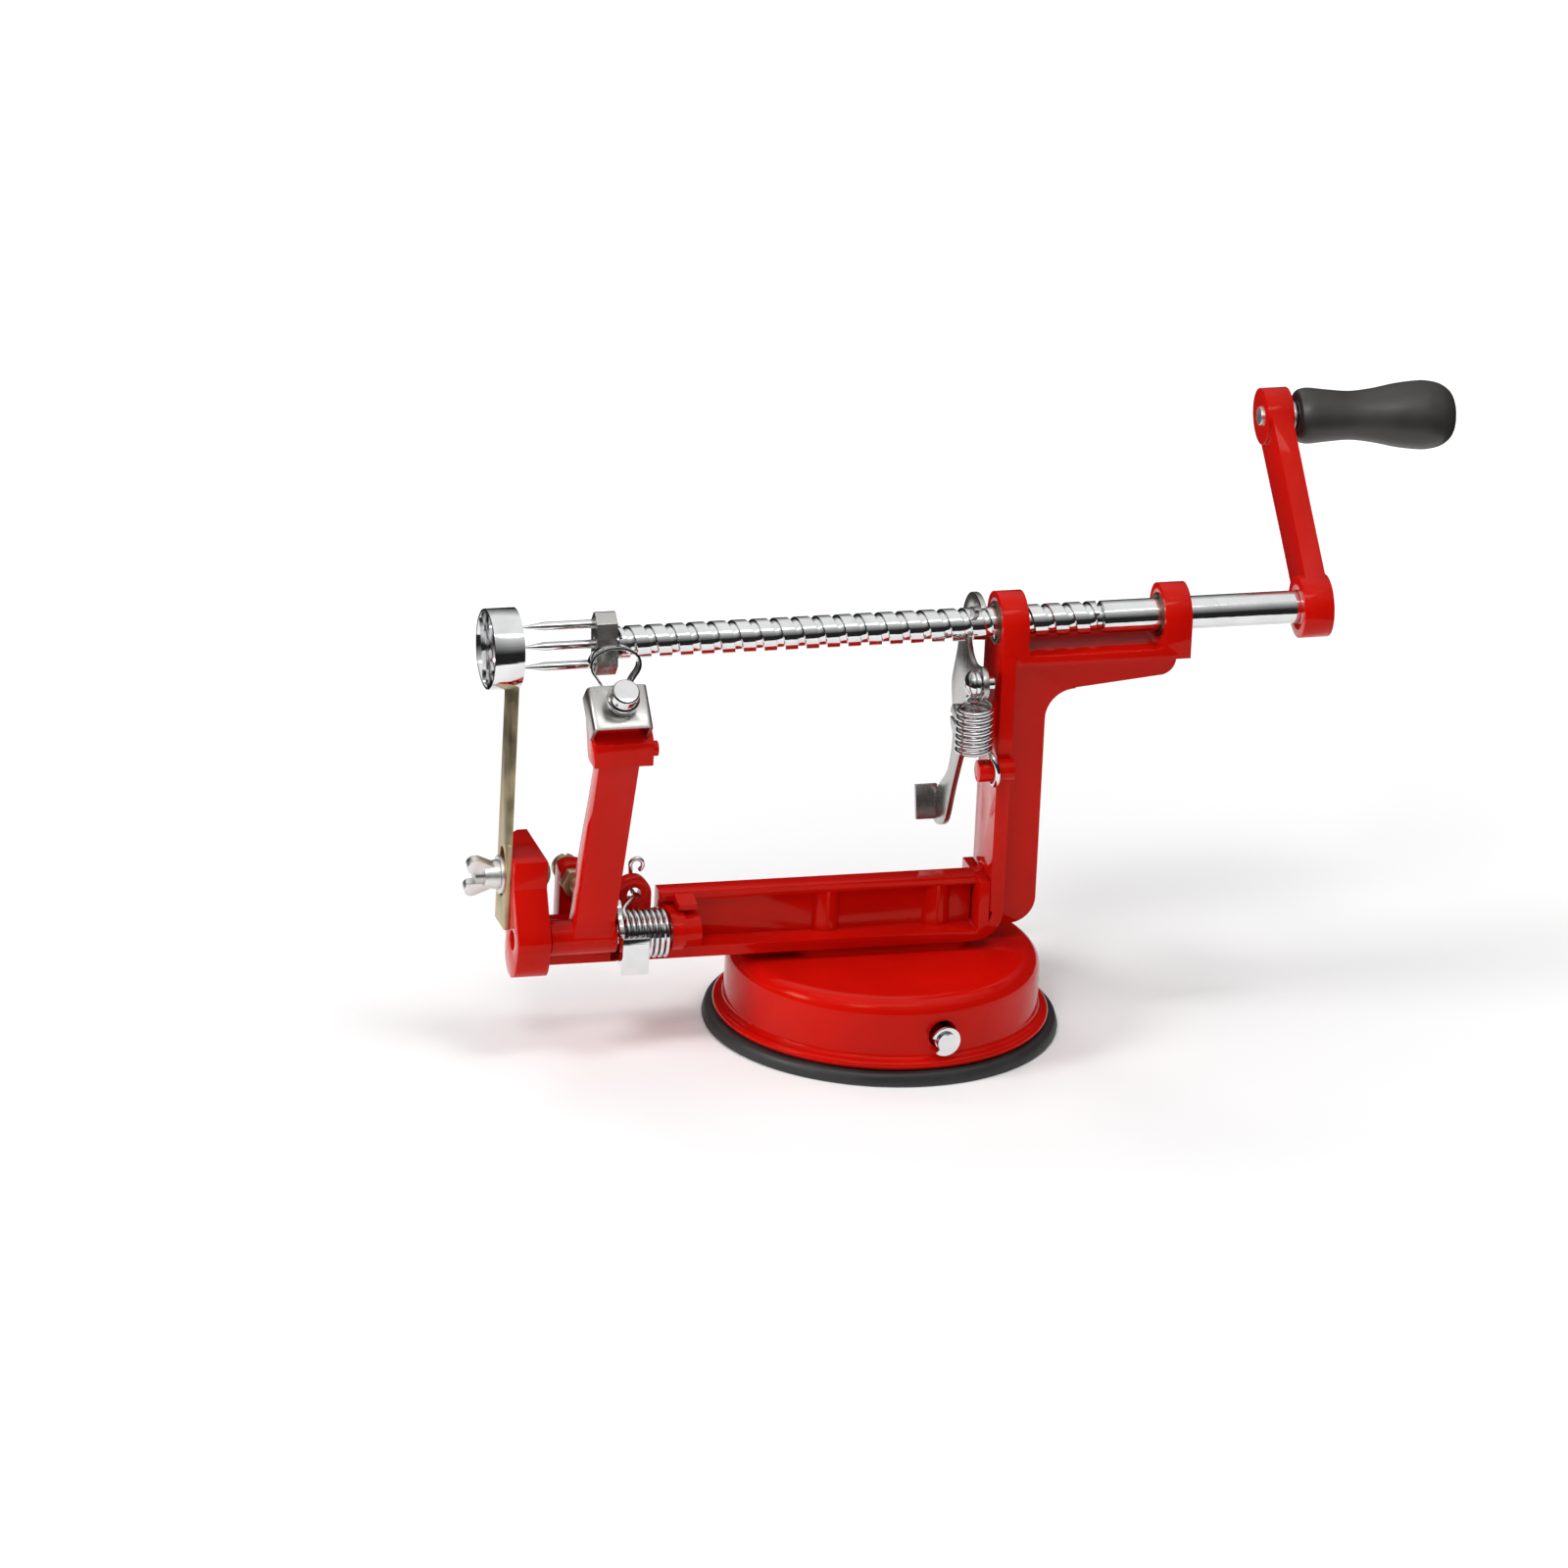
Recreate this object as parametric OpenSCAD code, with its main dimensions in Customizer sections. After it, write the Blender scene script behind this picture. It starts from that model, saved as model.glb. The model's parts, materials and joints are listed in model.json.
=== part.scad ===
// Hand-cranked apple peeler, corer and slicer on a suction base.
// Origin at the middle of the suction face. +X runs along the shaft to the crank, +Y is the back, +Z is up.

/* [Suction base] */
// Diameter of the rubber disc
cup_d = 105.5; // [98:0.5:112]
// Thickness of the rubber rim
cup_rim_t = 4; // [3:0.25:5]
// Diameter of the cap's foot flange
cap_flange_d = 99.5; // [97:0.5:104]
// Height of the cap's foot flange
cap_flange_h = 2.6; // [2:0.1:4]
// Diameter of the cap's wall
cap_d = 93; // [88:0.5:95]
// Height of the cap's top above the table
cap_top_z = 24.6; // [24:0.2:26]
// Wall of the cap
cap_wall = 3; // [2.4:0.1:3.4]
// Round on the cap's top edge
cap_round = 5; // [4:0.5:7]
// Turn of the base under the frame, degrees
base_yaw = 8; // [0:1:15]
// Height of the cam shaft above the table
cam_z = 12.4; // [12:0.1:13]
// Journal diameter of the cam shaft
cam_d = 6; // [5.5:0.25:6.5]
// Lift of the suction disc
cup_lift = 2.5; // [2:0.25:2.75]
// Length of the suction lever from the cam shaft
suction_lever_l = 46; // [36:1:52]

/* [Frame] */
// Height of the beam's underside above the table
beam_bot_z = 27.6; // [27:0.2:29]
// Height of the beam
beam_h = 18.6; // [18:0.1:19.5]
// Thickness of the web
web_t = 4; // [3:0.5:5]
// Depth of the flanges, front to back
flange_depth = 20; // [19:0.5:21]
// Thickness of the flanges
flange_t = 3.4; // [2.6:0.2:3.4]
// Left face of the column
column_x = 29.3; // [28:0.1:31]
// Thickness of the column's flange
column_t = 4.2; // [3.5:0.1:5]
// Width of the stiffening web behind the column
stiffener_w = 12; // [9:0.5:14]
// Height of the shaft axis above the table
axis_z = 124.4; // [122:0.2:127]
// Thickness of each bearing lug along the shaft
lug_t = 8; // [7:0.5:9]
// Outer radius of each bearing lug
lug_r = 9.4; // [9:0.1:10]
// Left face of the rear bearing lug
rear_lug_x = 79; // [76:0.5:80]
// Height of the slab's top above the table
slab_top_z = 60.4; // [59:0.2:63]
// Left face of the end slab
slab_x = -116; // [-118:0.5:-115]
// Thickness of the end slab
slab_t = 10; // [9:0.5:11]

/* [Shaft and crank] */
// Crest diameter of the shaft
shaft_d = 9.8; // [9:0.1:10]
// Depth of the helical groove
groove_depth = 0.9; // [0.7:0.05:1]
// Axial width of the groove
groove_w = 2.3; // [2.1:0.1:2.6]
// Pitch of the groove
pitch = 6.35; // [6:0.05:6.6]
// Full turns of groove along the shaft
thread_turns = 23; // [20:1:24]
// Wall of the bearing bushes
bush_wall = 1.5; // [1:0.1:2]
// Radial running clearance of shafts and pins
run_gap = 0.08; // [0.05:0.01:0.1]
// Distance from the shaft to the crank pin
crank_r = 65; // [58:1:70]
// Lean of the crank back from upright, degrees
crank_lean = 51; // [0:1:90]
// Length of the grip
grip_l = 49; // [44:1:55]
// Largest diameter of the grip
grip_d = 20.5; // [19:0.5:22]
// Droop of the grip below the shaft's direction, degrees
grip_droop = 2.5; // [0:0.5:3]
// Length of the fork's prongs
prong_l = 22; // [18:1:22]

/* [Peeling arm] */
// Pivot rod diameter
rod_d = 6; // [5:0.25:6.5]
// Pivot rod's distance in front of the shaft plane
rod_y = -10.5; // [-11:0.1:-10.2]
// Pivot rod's height above the table
rod_z = 36.4; // [36.2:0.1:37.2]
// Tilt of the blade holder, degrees
holder_tilt = 42; // [38:1:46]
// Width of the blade holder
holder_w = 18; // [17:0.5:19]
// Length of the blade holder
holder_l = 14; // [13:0.5:15]
// Sheet thickness of the holder
holder_t = 1.2; // [1:0.1:1.4]

/* [Springs] */
// Wire of the torsion spring
arm_wire = 1.4; // [1.2:0.1:1.5]
// Outer diameter of the torsion spring
arm_coil_d = 15; // [14:0.25:15.25]
// Coils of the torsion spring
arm_coils = 6; // [5:1:6]
// Wire of the extension spring
lever_wire = 1.3; // [1.1:0.1:1.3]
// Outer diameter of the extension spring
lever_coil_d = 11; // [10:0.25:11.5]
// Coils of the extension spring
lever_coils = 8; // [6:1:8]

/* [Slicing blade] */
// Width of the slicing strip
strip_w = 11; // [10:0.5:12]
// Thickness of the slicing strip
strip_t = 1.6; // [1.2:0.1:2]
// Outer radius of the coring ring
ring_r = 12; // [11.8:0.1:13]
// Wall of the coring ring
ring_wall = 0.9; // [0.7:0.1:1]

/* [Hidden] */
$fn = 64;

// Gap between fixed pieces that seat on each other, and between pieces that move past each other
seat_gap = 0.04;
move_gap = 0.3;
// Overrun of a cut past the face that it opens
over = 1;

enamel = [0.75, 0.04, 0.03];
steel = [0.78, 0.79, 0.8];
dull_steel = [0.55, 0.53, 0.47];
rubber = [0.08, 0.08, 0.08];

// Suction base: the cap stands on the rubber rim
cap_foot_z = cup_rim_t;
cap_ceiling_z = cap_top_z - cap_wall;
post_plate_d = 34;
post_plate_t = 1.4;
post_seat_z = cup_rim_t - 1;
// The eccentric's throw is half the lift, and the cap's holes let the bent shaft pass
cam_throw = cup_lift / 2;
cam_hole_d = cam_d + 2 * cam_throw + 0.2;
cam_hole_z = cam_z + cam_hole_d / 2 - cam_d / 2 - 0.1;
// A slot that clears the eccentric while the post rises at an even rate
cam_slot_gap = 0.21 * cam_throw + 0.2;
lever_plate_y = max(cap_flange_d, cap_d) / 2 + 0.6;
suction_lever_t = 4.6;
clip_t = 1.2;
clip_y = -cap_d / 2 - 1.6;
// Screws from the cap go up into the beam's two ribs
rib_x = [-18.7, 14.9];
rib_r = 4.6;
frame_screw_d = 4;
screw_boss_drop = 4.6;
frame_screw_depth = 13;

// Frame
beam_top_z = beam_bot_z + beam_h;
column_r_x = column_x + column_t;
stiffener_x = column_r_x + stiffener_w;
arm_top_z = axis_z - 7.8;
arm_plate_t = 3;
bush_bore_d = shaft_d + 2 * run_gap;
lug_bore_d = bush_bore_d + 2 * bush_wall;
rear_lug_end = rear_lug_x + lug_t;
slab_r_x = slab_x + slab_t;
// The beam's low left part, its hooked-spring lug and the two rod bosses
low_beam_x = slab_x + 46;
low_beam_top_z = rod_z + 2.2;
hook_lug_x = slab_x + 38.7;
hook_lug_z = 45.2;
hook_lug_r = 5.2;
hook_hole_d = 4.2;
boss_x0 = slab_x + 47.4;
boss_x1 = slab_x + 51.6;
boss_x2 = slab_x + 56.4;
rod_boss_r = 7.4;

// Shaft: the groove faces the release lever's tooth where the lever stands
fork_x = -86;
fork_t = 6.4;
fork_w = 18.8;
fork_lean = 10;
fork_chamfer = 3;
fork_h = 7.4;
thread_len = thread_turns * pitch;
thread_end_x = fork_x + thread_len;
crank_hub_x = 121.6;
crank_hub_t = 9;
crank_hub_r = 9.3;
crank_bar_t = 6;
crank_eye_r = 8.5;
crank_eye_t = 8.2;
spigot_d = 6;
spigot_l = 3.4;
pin_d = 5.6;
lever_t = 1.6;
lever_standoff = 5.4;
lever_x = column_x - lever_standoff - lever_t;
lever_mid_x = lever_x + lever_t / 2;

// Release lever: its pivot, its tooth and its spring's two anchors
lever_pivot = [6, 92];
lever_pivot_d = 5;
spring_anchor = [-11.5, 110];
stud_y = -12;
stud_z = 82.5;
stud_d = 6.6;
stud_len = 6.6;
spring_screw_d = 4;

// Peeling arm
tube_r = 5.3;
tube_x0 = slab_r_x + 0.8;
latch_t = 1.4;
latch_x = slab_x + 31;
tube_x1 = latch_x - 0.3;
holder_x = slab_x + 26.5;
holder_top = [-22.35, 113.35];
holder_wall_h = 7.6;
thumb_screw_y = 0.5;
blade_lean = 40;
stop_z = 48.5;
stop_x = slab_x + 21.6;
stop_screw_d = 4.6;
stop_lug_y = [3.4, 9.4];
arm_back_y = -9.2;

// Slicing blade
strip_x = slab_x - strip_t - seat_gap;
strip_y = -1;
strip_foot_z = 38;
bolt_z = 53.6;
bolt_d = 5;
ring_len = 9;

// Extrudes a profile drawn in X and Z from y0 to y1
module along_y(y0, y1) {
    translate([0, y1, 0]) rotate([90, 0, 0]) linear_extrude(y1 - y0) children();
}

// Extrudes a profile drawn in Y and Z from x0 to x1
module along_x(x0, x1) {
    translate([x0, 0, 0]) rotate([90, 0, 90]) linear_extrude(x1 - x0) children();
}

// Round rod along X
module round_x(x0, x1, y, z, d) {
    translate([x0, y, z]) rotate([0, 90, 0]) cylinder(d = d, h = x1 - x0);
}

// Round rod along Y
module round_y(y0, y1, x, z, d) {
    translate([x, y1, z]) rotate([90, 0, 0]) cylinder(d = d, h = y1 - y0);
}

// Rectangle with round corners
module round_rect(x0, y0, x1, y1, r) {
    translate([x0 + r, y0]) square([x1 - x0 - 2 * r, y1 - y0]);
    translate([x0, y0 + r]) square([x1 - x0, y1 - y0 - 2 * r]);
    for (x = [x0 + r, x1 - r], y = [y0 + r, y1 - r]) translate([x, y]) circle(r);
}

// Straight link between two round ends, its sides tangent to both
module link(p, rp, q, rq) {
    d = q - p;
    side = acos((rp - rq) / norm(d));
    turn = atan2(d[1], d[0]);
    polygon([
        for (e = [[p, rp, 1], [p, rp, -1], [q, rq, -1], [q, rq, 1]])
            e[0] + e[1] * [cos(turn + e[2] * side), sin(turn + e[2] * side)]
    ]);
    translate(p) circle(rp);
    translate(q) circle(rq);
}

// Points of an arc round a centre
function arc(c, r, from, to, n) = [
    for (i = [0:n]) let (a = from + (to - from) * i / n) c + r * [cos(a), sin(a)]
];

// Concave fillet: the corner that a round of radius r leaves, in the direction sx, sy from the corner point
module fillet(x, y, r, sx, sy) {
    difference() {
        translate([x + (sx > 0 ? -0.1 : -r), y + (sy > 0 ? -0.1 : -r)]) square(r + 0.1);
        translate([x + sx * r, y + sy * r]) circle(r);
    }
}

function unit(v) = v / norm(v);

// Sideways directions along a path, each turned as little as possible from the one before
function path_normals(p, t) = [
    for (i = 0, n = unit(cross(t[0], cross([0.3, 0.5, 0.8], t[0]))); i < len(p);
        i = i + 1, n = i < len(p) ? unit(n - (n * t[i]) * t[i]) : n) n
];

// Directions along a path
function path_tangents(p) = [
    for (i = [0:len(p) - 1]) unit(p[min(i + 1, len(p) - 1)] - p[max(i - 1, 0)])
];

// One unbroken wire along a path
module wire(path, d, sides = 6) {
    t = path_tangents(path);
    n = path_normals(path, t);
    last = len(path) - 1;
    points = [
        for (i = [0:last], k = [0:sides - 1])
            path[i] + d / 2 * (cos(360 * k / sides) * n[i] + sin(360 * k / sides) * cross(t[i], n[i]))
    ];
    walls = [
        for (i = [0:last - 1], k = [0:sides - 1])
            let (a = i * sides + k, b = i * sides + (k + 1) % sides)
            each [[a, a + sides, b], [b, a + sides, b + sides]]
    ];
    caps = [
        for (k = [1:sides - 2])
            each [[0, k, k + 1], [last * sides, last * sides + k + 1, last * sides + k]]
    ];
    polyhedron(points, concat(walls, caps), convexity = 10);
}

// Least gap of a wire to itself, leaving out points that are neighbours along the wire
function wire_gap(path, d, skip) = min([
    for (i = [0:len(path) - 1 - skip], j = [i + skip:len(path) - 1]) norm(path[i] - path[j])
]) - d;

// Suction base

module cup_profile() {
    r = cup_d / 2;
    polygon([
        [0, 0], [r - 0.6, 0], [r, 0.8], [r - 0.5, cup_rim_t - 0.4], [r - 0.9, cup_rim_t],
        [post_plate_d / 2 + move_gap, cup_rim_t], [post_plate_d / 2 + move_gap, post_seat_z], [0, post_seat_z]
    ]);
}

module suction_cup() {
    color(rubber) rotate_extrude($fn = 96) cup_profile();
}

// Half section of the cap: foot flange, wall, rounded shoulder and hollow inside
module cap_profile() {
    r = cap_d / 2;
    rf = cap_flange_d / 2;
    foot_top = cap_foot_z + cap_flange_h;
    inner_round = max(cap_round - cap_wall, 0.5);
    difference() {
        union() {
            translate([0, cap_foot_z]) square([r, cap_top_z - cap_foot_z - cap_round]);
            translate([0, cap_foot_z]) square([r - cap_round, cap_top_z - cap_foot_z]);
            translate([r - cap_round, cap_top_z - cap_round]) circle(cap_round);
            translate([0, cap_foot_z]) square([rf - cap_flange_h / 2, cap_flange_h]);
            translate([rf - cap_flange_h / 2, cap_foot_z + cap_flange_h / 2]) circle(cap_flange_h / 2);
            fillet(r, foot_top, 1.6, 1, 1);
        }
        translate([-over, cap_foot_z - over])
            square([r - cap_wall + over, cap_ceiling_z - inner_round - cap_foot_z + over]);
        translate([-over, cap_foot_z - over])
            square([r - cap_wall - inner_round + over, cap_ceiling_z - cap_foot_z + over]);
        translate([r - cap_wall - inner_round, cap_ceiling_z - inner_round]) circle(inner_round);
        translate([-2 * cap_d, 0]) square(2 * cap_d);
    }
}

module cap_shell() {
    difference() {
        union() {
            rotate_extrude($fn = 96) cap_profile();
            // Thickened wall round each cam hole
            for (s = [-1, 1])
                round_y(min(s * (cap_d / 2 - 8), s * (cap_d / 2 - 1)), max(s * (cap_d / 2 - 8), s * (cap_d / 2 - 1)),
                    0, cam_hole_z, cam_hole_d + 6);
        }
        round_y(-cap_d, cap_d, 0, cam_hole_z, cam_hole_d);
    }
}

module base_cap() {
    pad_l = rib_x[1] - rib_x[0] + 20;
    pad_mid = (rib_x[0] + rib_x[1]) / 2;
    color(enamel) difference() {
        union() {
            rotate([0, 0, base_yaw]) cap_shell();
            translate([pad_mid, 0, cap_ceiling_z + over])
                linear_extrude(beam_bot_z - cap_ceiling_z - over)
                    round_rect(-pad_l / 2, -flange_depth / 2 + 1.5, pad_l / 2, flange_depth / 2 - 1.5, 6);
            for (x = rib_x) translate([x, 0, cap_ceiling_z - screw_boss_drop])
                cylinder(r = rib_r, h = screw_boss_drop + over);
        }
        for (x = rib_x) translate([x, 0, cap_foot_z]) cylinder(d = frame_screw_d + 2 * seat_gap, h = beam_bot_z);
    }
}

module frame_screws() {
    head_z = cap_ceiling_z - screw_boss_drop;
    color(steel) for (x = rib_x) translate([x, 0, head_z]) {
        cylinder(d = frame_screw_d, h = beam_bot_z + frame_screw_depth - 1 - head_z);
        translate([0, 0, -2.6]) difference() {
            cylinder(d = 7.6, h = 2.6);
            translate([-0.5, -over - 4, -over]) cube([1, 2 * over + 8, over + 1.2]);
        }
    }
}

// Shaft with an eccentric middle, its throw pointing down when the cup is released
module cam_shaft() {
    color(steel) rotate([0, 0, base_yaw]) {
        difference() {
            union() {
                round_y(clip_y - 2.2, -6, 0, cam_z, cam_d);
                round_y(6, lever_plate_y + suction_lever_t + 0.6, 0, cam_z, cam_d);
            }
            difference() {
                round_y(clip_y - clip_t, clip_y, 0, cam_z, cam_d + over);
                round_y(clip_y - clip_t - over, clip_y + over, 0, cam_z, cam_d - 1.4);
            }
        }
        round_y(-8, 8, 0, cam_z - cam_throw, cam_d);
    }
}

// Open ring that snaps into the shaft's groove
module retaining_clip() {
    color(steel) rotate([0, 0, base_yaw]) translate([0, clip_y - seat_gap, cam_z]) rotate([90, 0, 0])
        linear_extrude(clip_t - 2 * seat_gap) difference() {
            circle(d = cam_d + 3.2);
            circle(d = cam_d - 1.4 + 2 * seat_gap);
            rotate(195) polygon([[0, 0], [cam_d, -0.62 * cam_d], [cam_d, 0.62 * cam_d]]);
        }
}

module suction_lever() {
    color(enamel) rotate([0, 0, base_yaw]) difference() {
        along_y(lever_plate_y, lever_plate_y + suction_lever_t) {
            link([0, cam_z], 4.4, [suction_lever_l - 5.4, cam_z], 3.6);
            for (x = [0, suction_lever_l - 5.4]) translate([x, cam_z]) circle(5.4);
        }
        round_y(0, cap_d, 0, cam_z, cam_d + 2 * seat_gap);
    }
}

// Post on a plate that is bedded in the rubber disc, with a slot for the eccentric
module pull_post() {
    slot_w = cam_d + 2 * cam_throw + 2 * cam_slot_gap;
    slot_h = cam_d + 2 * cam_slot_gap;
    slot_z = cam_z - cam_throw;
    post_top = slot_z + slot_h / 2 + 1.8;
    color(dull_steel) rotate([0, 0, base_yaw]) {
        translate([0, 0, post_seat_z]) cylinder(d = post_plate_d, h = post_plate_t);
        difference() {
            translate([-slot_w / 2 - 2.4, -4, post_seat_z + post_plate_t / 2])
                cube([slot_w + 4.8, 8, post_top - post_seat_z - post_plate_t / 2]);
            along_y(-5, 5) round_rect(-slot_w / 2, slot_z - slot_h / 2, slot_w / 2, slot_z + slot_h / 2, slot_h / 2 - 0.4);
        }
    }
}

// Frame casting

// Web of the beam, the column's stiffener and the top arm, all in the shaft's plane
module frame_web() {
    corner = 8;
    low_edge_z = arm_top_z - 14.2;
    high_edge_z = arm_top_z - 10.8;
    arm_end_x = rear_lug_x + 5.8;
    end_r = 5;
    stiffener_z = beam_bot_z + 1.7;
    along_y(-web_t / 2, web_t / 2) {
        translate([slab_r_x - over, beam_bot_z]) square([low_beam_x - slab_r_x + over, low_beam_top_z - beam_bot_z]);
        translate([low_beam_x, beam_bot_z]) square([column_r_x - corner - low_beam_x, beam_h]);
        // Round-topped lug that holds the torsion spring's hook
        translate([hook_lug_x - hook_lug_r, beam_bot_z]) square([2 * hook_lug_r, hook_lug_z - beam_bot_z]);
        translate([hook_lug_x, hook_lug_z]) circle(hook_lug_r);
        // Stiffener with its round foot
        translate([column_x, stiffener_z + corner]) square([stiffener_x - column_x, arm_top_z - stiffener_z - corner - over]);
        translate([column_x, stiffener_z]) square([stiffener_x - corner - column_x, beam_h]);
        translate([stiffener_x - corner, stiffener_z + corner]) circle(corner);
        // Tapered web under the top arm
        polygon([
            [column_x, arm_top_z - over], [arm_end_x, arm_top_z - over], [arm_end_x, high_edge_z + end_r],
            [arm_end_x - end_r, high_edge_z], [stiffener_x, low_edge_z], [column_x, low_edge_z]
        ]);
        translate([arm_end_x - end_r, high_edge_z + end_r]) circle(end_r);
        fillet(stiffener_x, low_edge_z + 0.6, 9, 1, -1);
        fillet(column_x, beam_top_z, 3, -1, 1);
    }
}

// Ribbon that runs under the beam and turns up the column
module frame_flange() {
    turn_r = 9;
    turn = [column_r_x - turn_r, beam_bot_z + turn_r];
    along_y(-flange_depth / 2, flange_depth / 2) {
        translate([slab_r_x - over, beam_bot_z]) square([turn[0] - slab_r_x + over, flange_t]);
        translate([column_x, turn[1]]) square([column_t, arm_top_z - turn[1]]);
        difference() {
            intersection() {
                translate(turn) circle(turn_r);
                translate([turn[0], beam_bot_z - over]) square(turn_r + over);
            }
            translate(turn) circle(turn_r - flange_t);
        }
        // Thick foot of the column between the beam's flanges
        translate([column_x - 3.3, beam_bot_z + flange_t / 2]) square([turn[0] + turn_r - flange_t - column_x + 3.3 - 1, beam_h - flange_t / 2]);
    }
    // Narrow top flange
    along_y(-4.6, web_t / 2) translate([low_beam_x, beam_top_z - 2.6]) square([column_x - low_beam_x + over, 2.6]);
}

// Bearing lug round the shaft
module bearing_lug(x) {
    along_x(x, x + lug_t) {
        translate([0, axis_z]) circle(lug_r);
        translate([-lug_r, arm_top_z - arm_plate_t]) square([2 * lug_r, axis_z - arm_top_z + arm_plate_t]);
    }
}

// End slab: an upright plate on a leg that carries the rod
module end_slab() {
    back_y = 16;
    difference() {
        along_x(slab_x, slab_r_x)
            polygon([[-10, 42], [-10, slab_top_z], [back_y, slab_top_z], [back_y, bolt_z], [rod_y + 7, rod_z + 3]]);
        translate([slab_x, back_y, 0]) rotate([0, 0, 45]) cube([10, 10, 300], center = true);
    }
    along_x(slab_x, slab_r_x) {
        link([rod_y, rod_z], rod_boss_r, [-3, 50], 7);
        link([rod_y, rod_z], rod_boss_r, [rod_y + 1, rod_z - 4.8], rod_boss_r - 0.4);
    }
    // End of the beam, set back from the slab's left face
    along_x(slab_x + slab_t / 2, slab_r_x)
        translate([rod_y, beam_bot_z]) square([-rod_y + flange_depth / 2, low_beam_top_z - beam_bot_z + 4]);
}

// Boss at the rod's right end, in two steps, with the gusset above it
module rod_boss() {
    for (s = [[boss_x0, boss_x1, 5.6], [boss_x1 - over, boss_x2, 4.7]]) {
        round_x(s[0], s[1], rod_y, rod_z, 2 * s[2]);
        along_x(s[0], s[1]) translate([rod_y, rod_z - s[2]]) square([-rod_y, 2 * s[2]]);
    }
    along_x(boss_x1 - 1.4, boss_x2 - 0.6)
        polygon([[0, beam_top_z], [-3, beam_top_z], [rod_y, rod_z + 8], [rod_y, rod_z + 6.4], [0, rod_z + 6.4]]);
}

module frame_casting() {
    color(enamel) difference() {
        union() {
            frame_web();
            difference() {
                frame_flange();
                // Room in the flange for the spring and the latch
                round_x(latch_x - 0.8, boss_x0, rod_y, rod_z, arm_coil_d + 1.9);
            }
            for (x = rib_x) translate([x, 0, beam_bot_z + over]) cylinder(r = rib_r, h = beam_h - over - 1.2);
            translate([column_x, -lug_r, arm_top_z - arm_plate_t]) cube([rear_lug_end - column_x, 2 * lug_r, arm_plate_t]);
            bearing_lug(column_x);
            bearing_lug(rear_lug_x);
            along_y(-lug_r, lug_r) {
                fillet(column_x + lug_t, arm_top_z, 2, 1, 1);
                fillet(rear_lug_x, arm_top_z, 2, -1, 1);
            }
            end_slab();
            rod_boss();
            // Stop lug behind the peeling arm
            along_y(stop_lug_y[0], stop_lug_y[1])
                round_rect(stop_x - 4.2, beam_bot_z + 0.5, stop_x + 4.2, stop_z + 5, 3);
            // Boss under the release lever, and the stud of its spring
            round_x(lever_x + lever_t + 0.1, column_x + over, lever_pivot[0], lever_pivot[1], 9);
            round_x(column_x - stud_len, column_r_x, stud_y, stud_z, stud_d);
        }
        for (x = [column_x, rear_lug_x]) round_x(x - over, x + lug_t + over, 0, axis_z, lug_bore_d);
        for (x = rib_x) translate([x, 0, beam_bot_z - over])
            cylinder(d = frame_screw_d + 2 * seat_gap, h = frame_screw_depth + over);
        round_x(slab_x - over, boss_x2 - 1.6, rod_y, rod_z, rod_d + 2 * seat_gap);
        round_x(slab_x - over, slab_r_x + over, strip_y, bolt_z, bolt_d + 2 * seat_gap);
        round_y(-web_t, web_t, hook_lug_x, hook_lug_z, hook_hole_d);
        round_y(stop_lug_y[0] - over, stop_lug_y[1] + over, stop_x, stop_z, stop_screw_d + 2 * seat_gap);
        round_x(lever_x, column_r_x + over, lever_pivot[0], lever_pivot[1], lever_pivot_d - 1 + 2 * seat_gap);
    }
}

module pivot_rod() {
    color(steel) round_x(slab_x + 1.6, boss_x2 - 2, rod_y, rod_z, rod_d);
}

module stop_screw() {
    color(dull_steel) {
        round_y(arm_back_y + move_gap, stop_lug_y[1] + 3, stop_x, stop_z, stop_screw_d);
        difference() {
            round_y(stop_lug_y[1] + 3, stop_lug_y[1] + 5.4, stop_x, stop_z, 8);
            translate([stop_x - 0.5, stop_lug_y[1] + 4.2, stop_z - 5]) cube([1, 2, 10]);
        }
    }
}

module stop_nut() {
    color(dull_steel) difference() {
        translate([stop_x, stop_lug_y[0] - seat_gap, stop_z]) rotate([90, 0, 0]) cylinder(d = 9.2, h = 3.2, $fn = 6);
        round_y(-over, stop_lug_y[0] + over, stop_x, stop_z, stop_screw_d + 2 * seat_gap);
    }
}

module lever_pivot_screw() {
    head_x = lever_x - 0.1;
    color(steel) difference() {
        union() {
            round_x(head_x - 2.2, head_x, lever_pivot[0], lever_pivot[1], 9);
            round_x(head_x - over, lever_x + lever_t + 0.1, lever_pivot[0], lever_pivot[1], lever_pivot_d);
            round_x(lever_x, column_r_x, lever_pivot[0], lever_pivot[1], lever_pivot_d - 1);
        }
        translate([head_x - 2.2 - over, lever_pivot[0] - 6, lever_pivot[1] - 0.6]) cube([1 + over, 12, 1.2]);
    }
}

// Round screw head, its flat side on z = 0
module dome_head(d, h) {
    rise = 0.65 * h;
    r = (d * d / 4 + rise * rise) / (2 * rise);
    rotate_extrude() intersection() {
        translate([0, h - r]) circle(r);
        square([d / 2, h]);
    }
}

// Slicing blade

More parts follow.
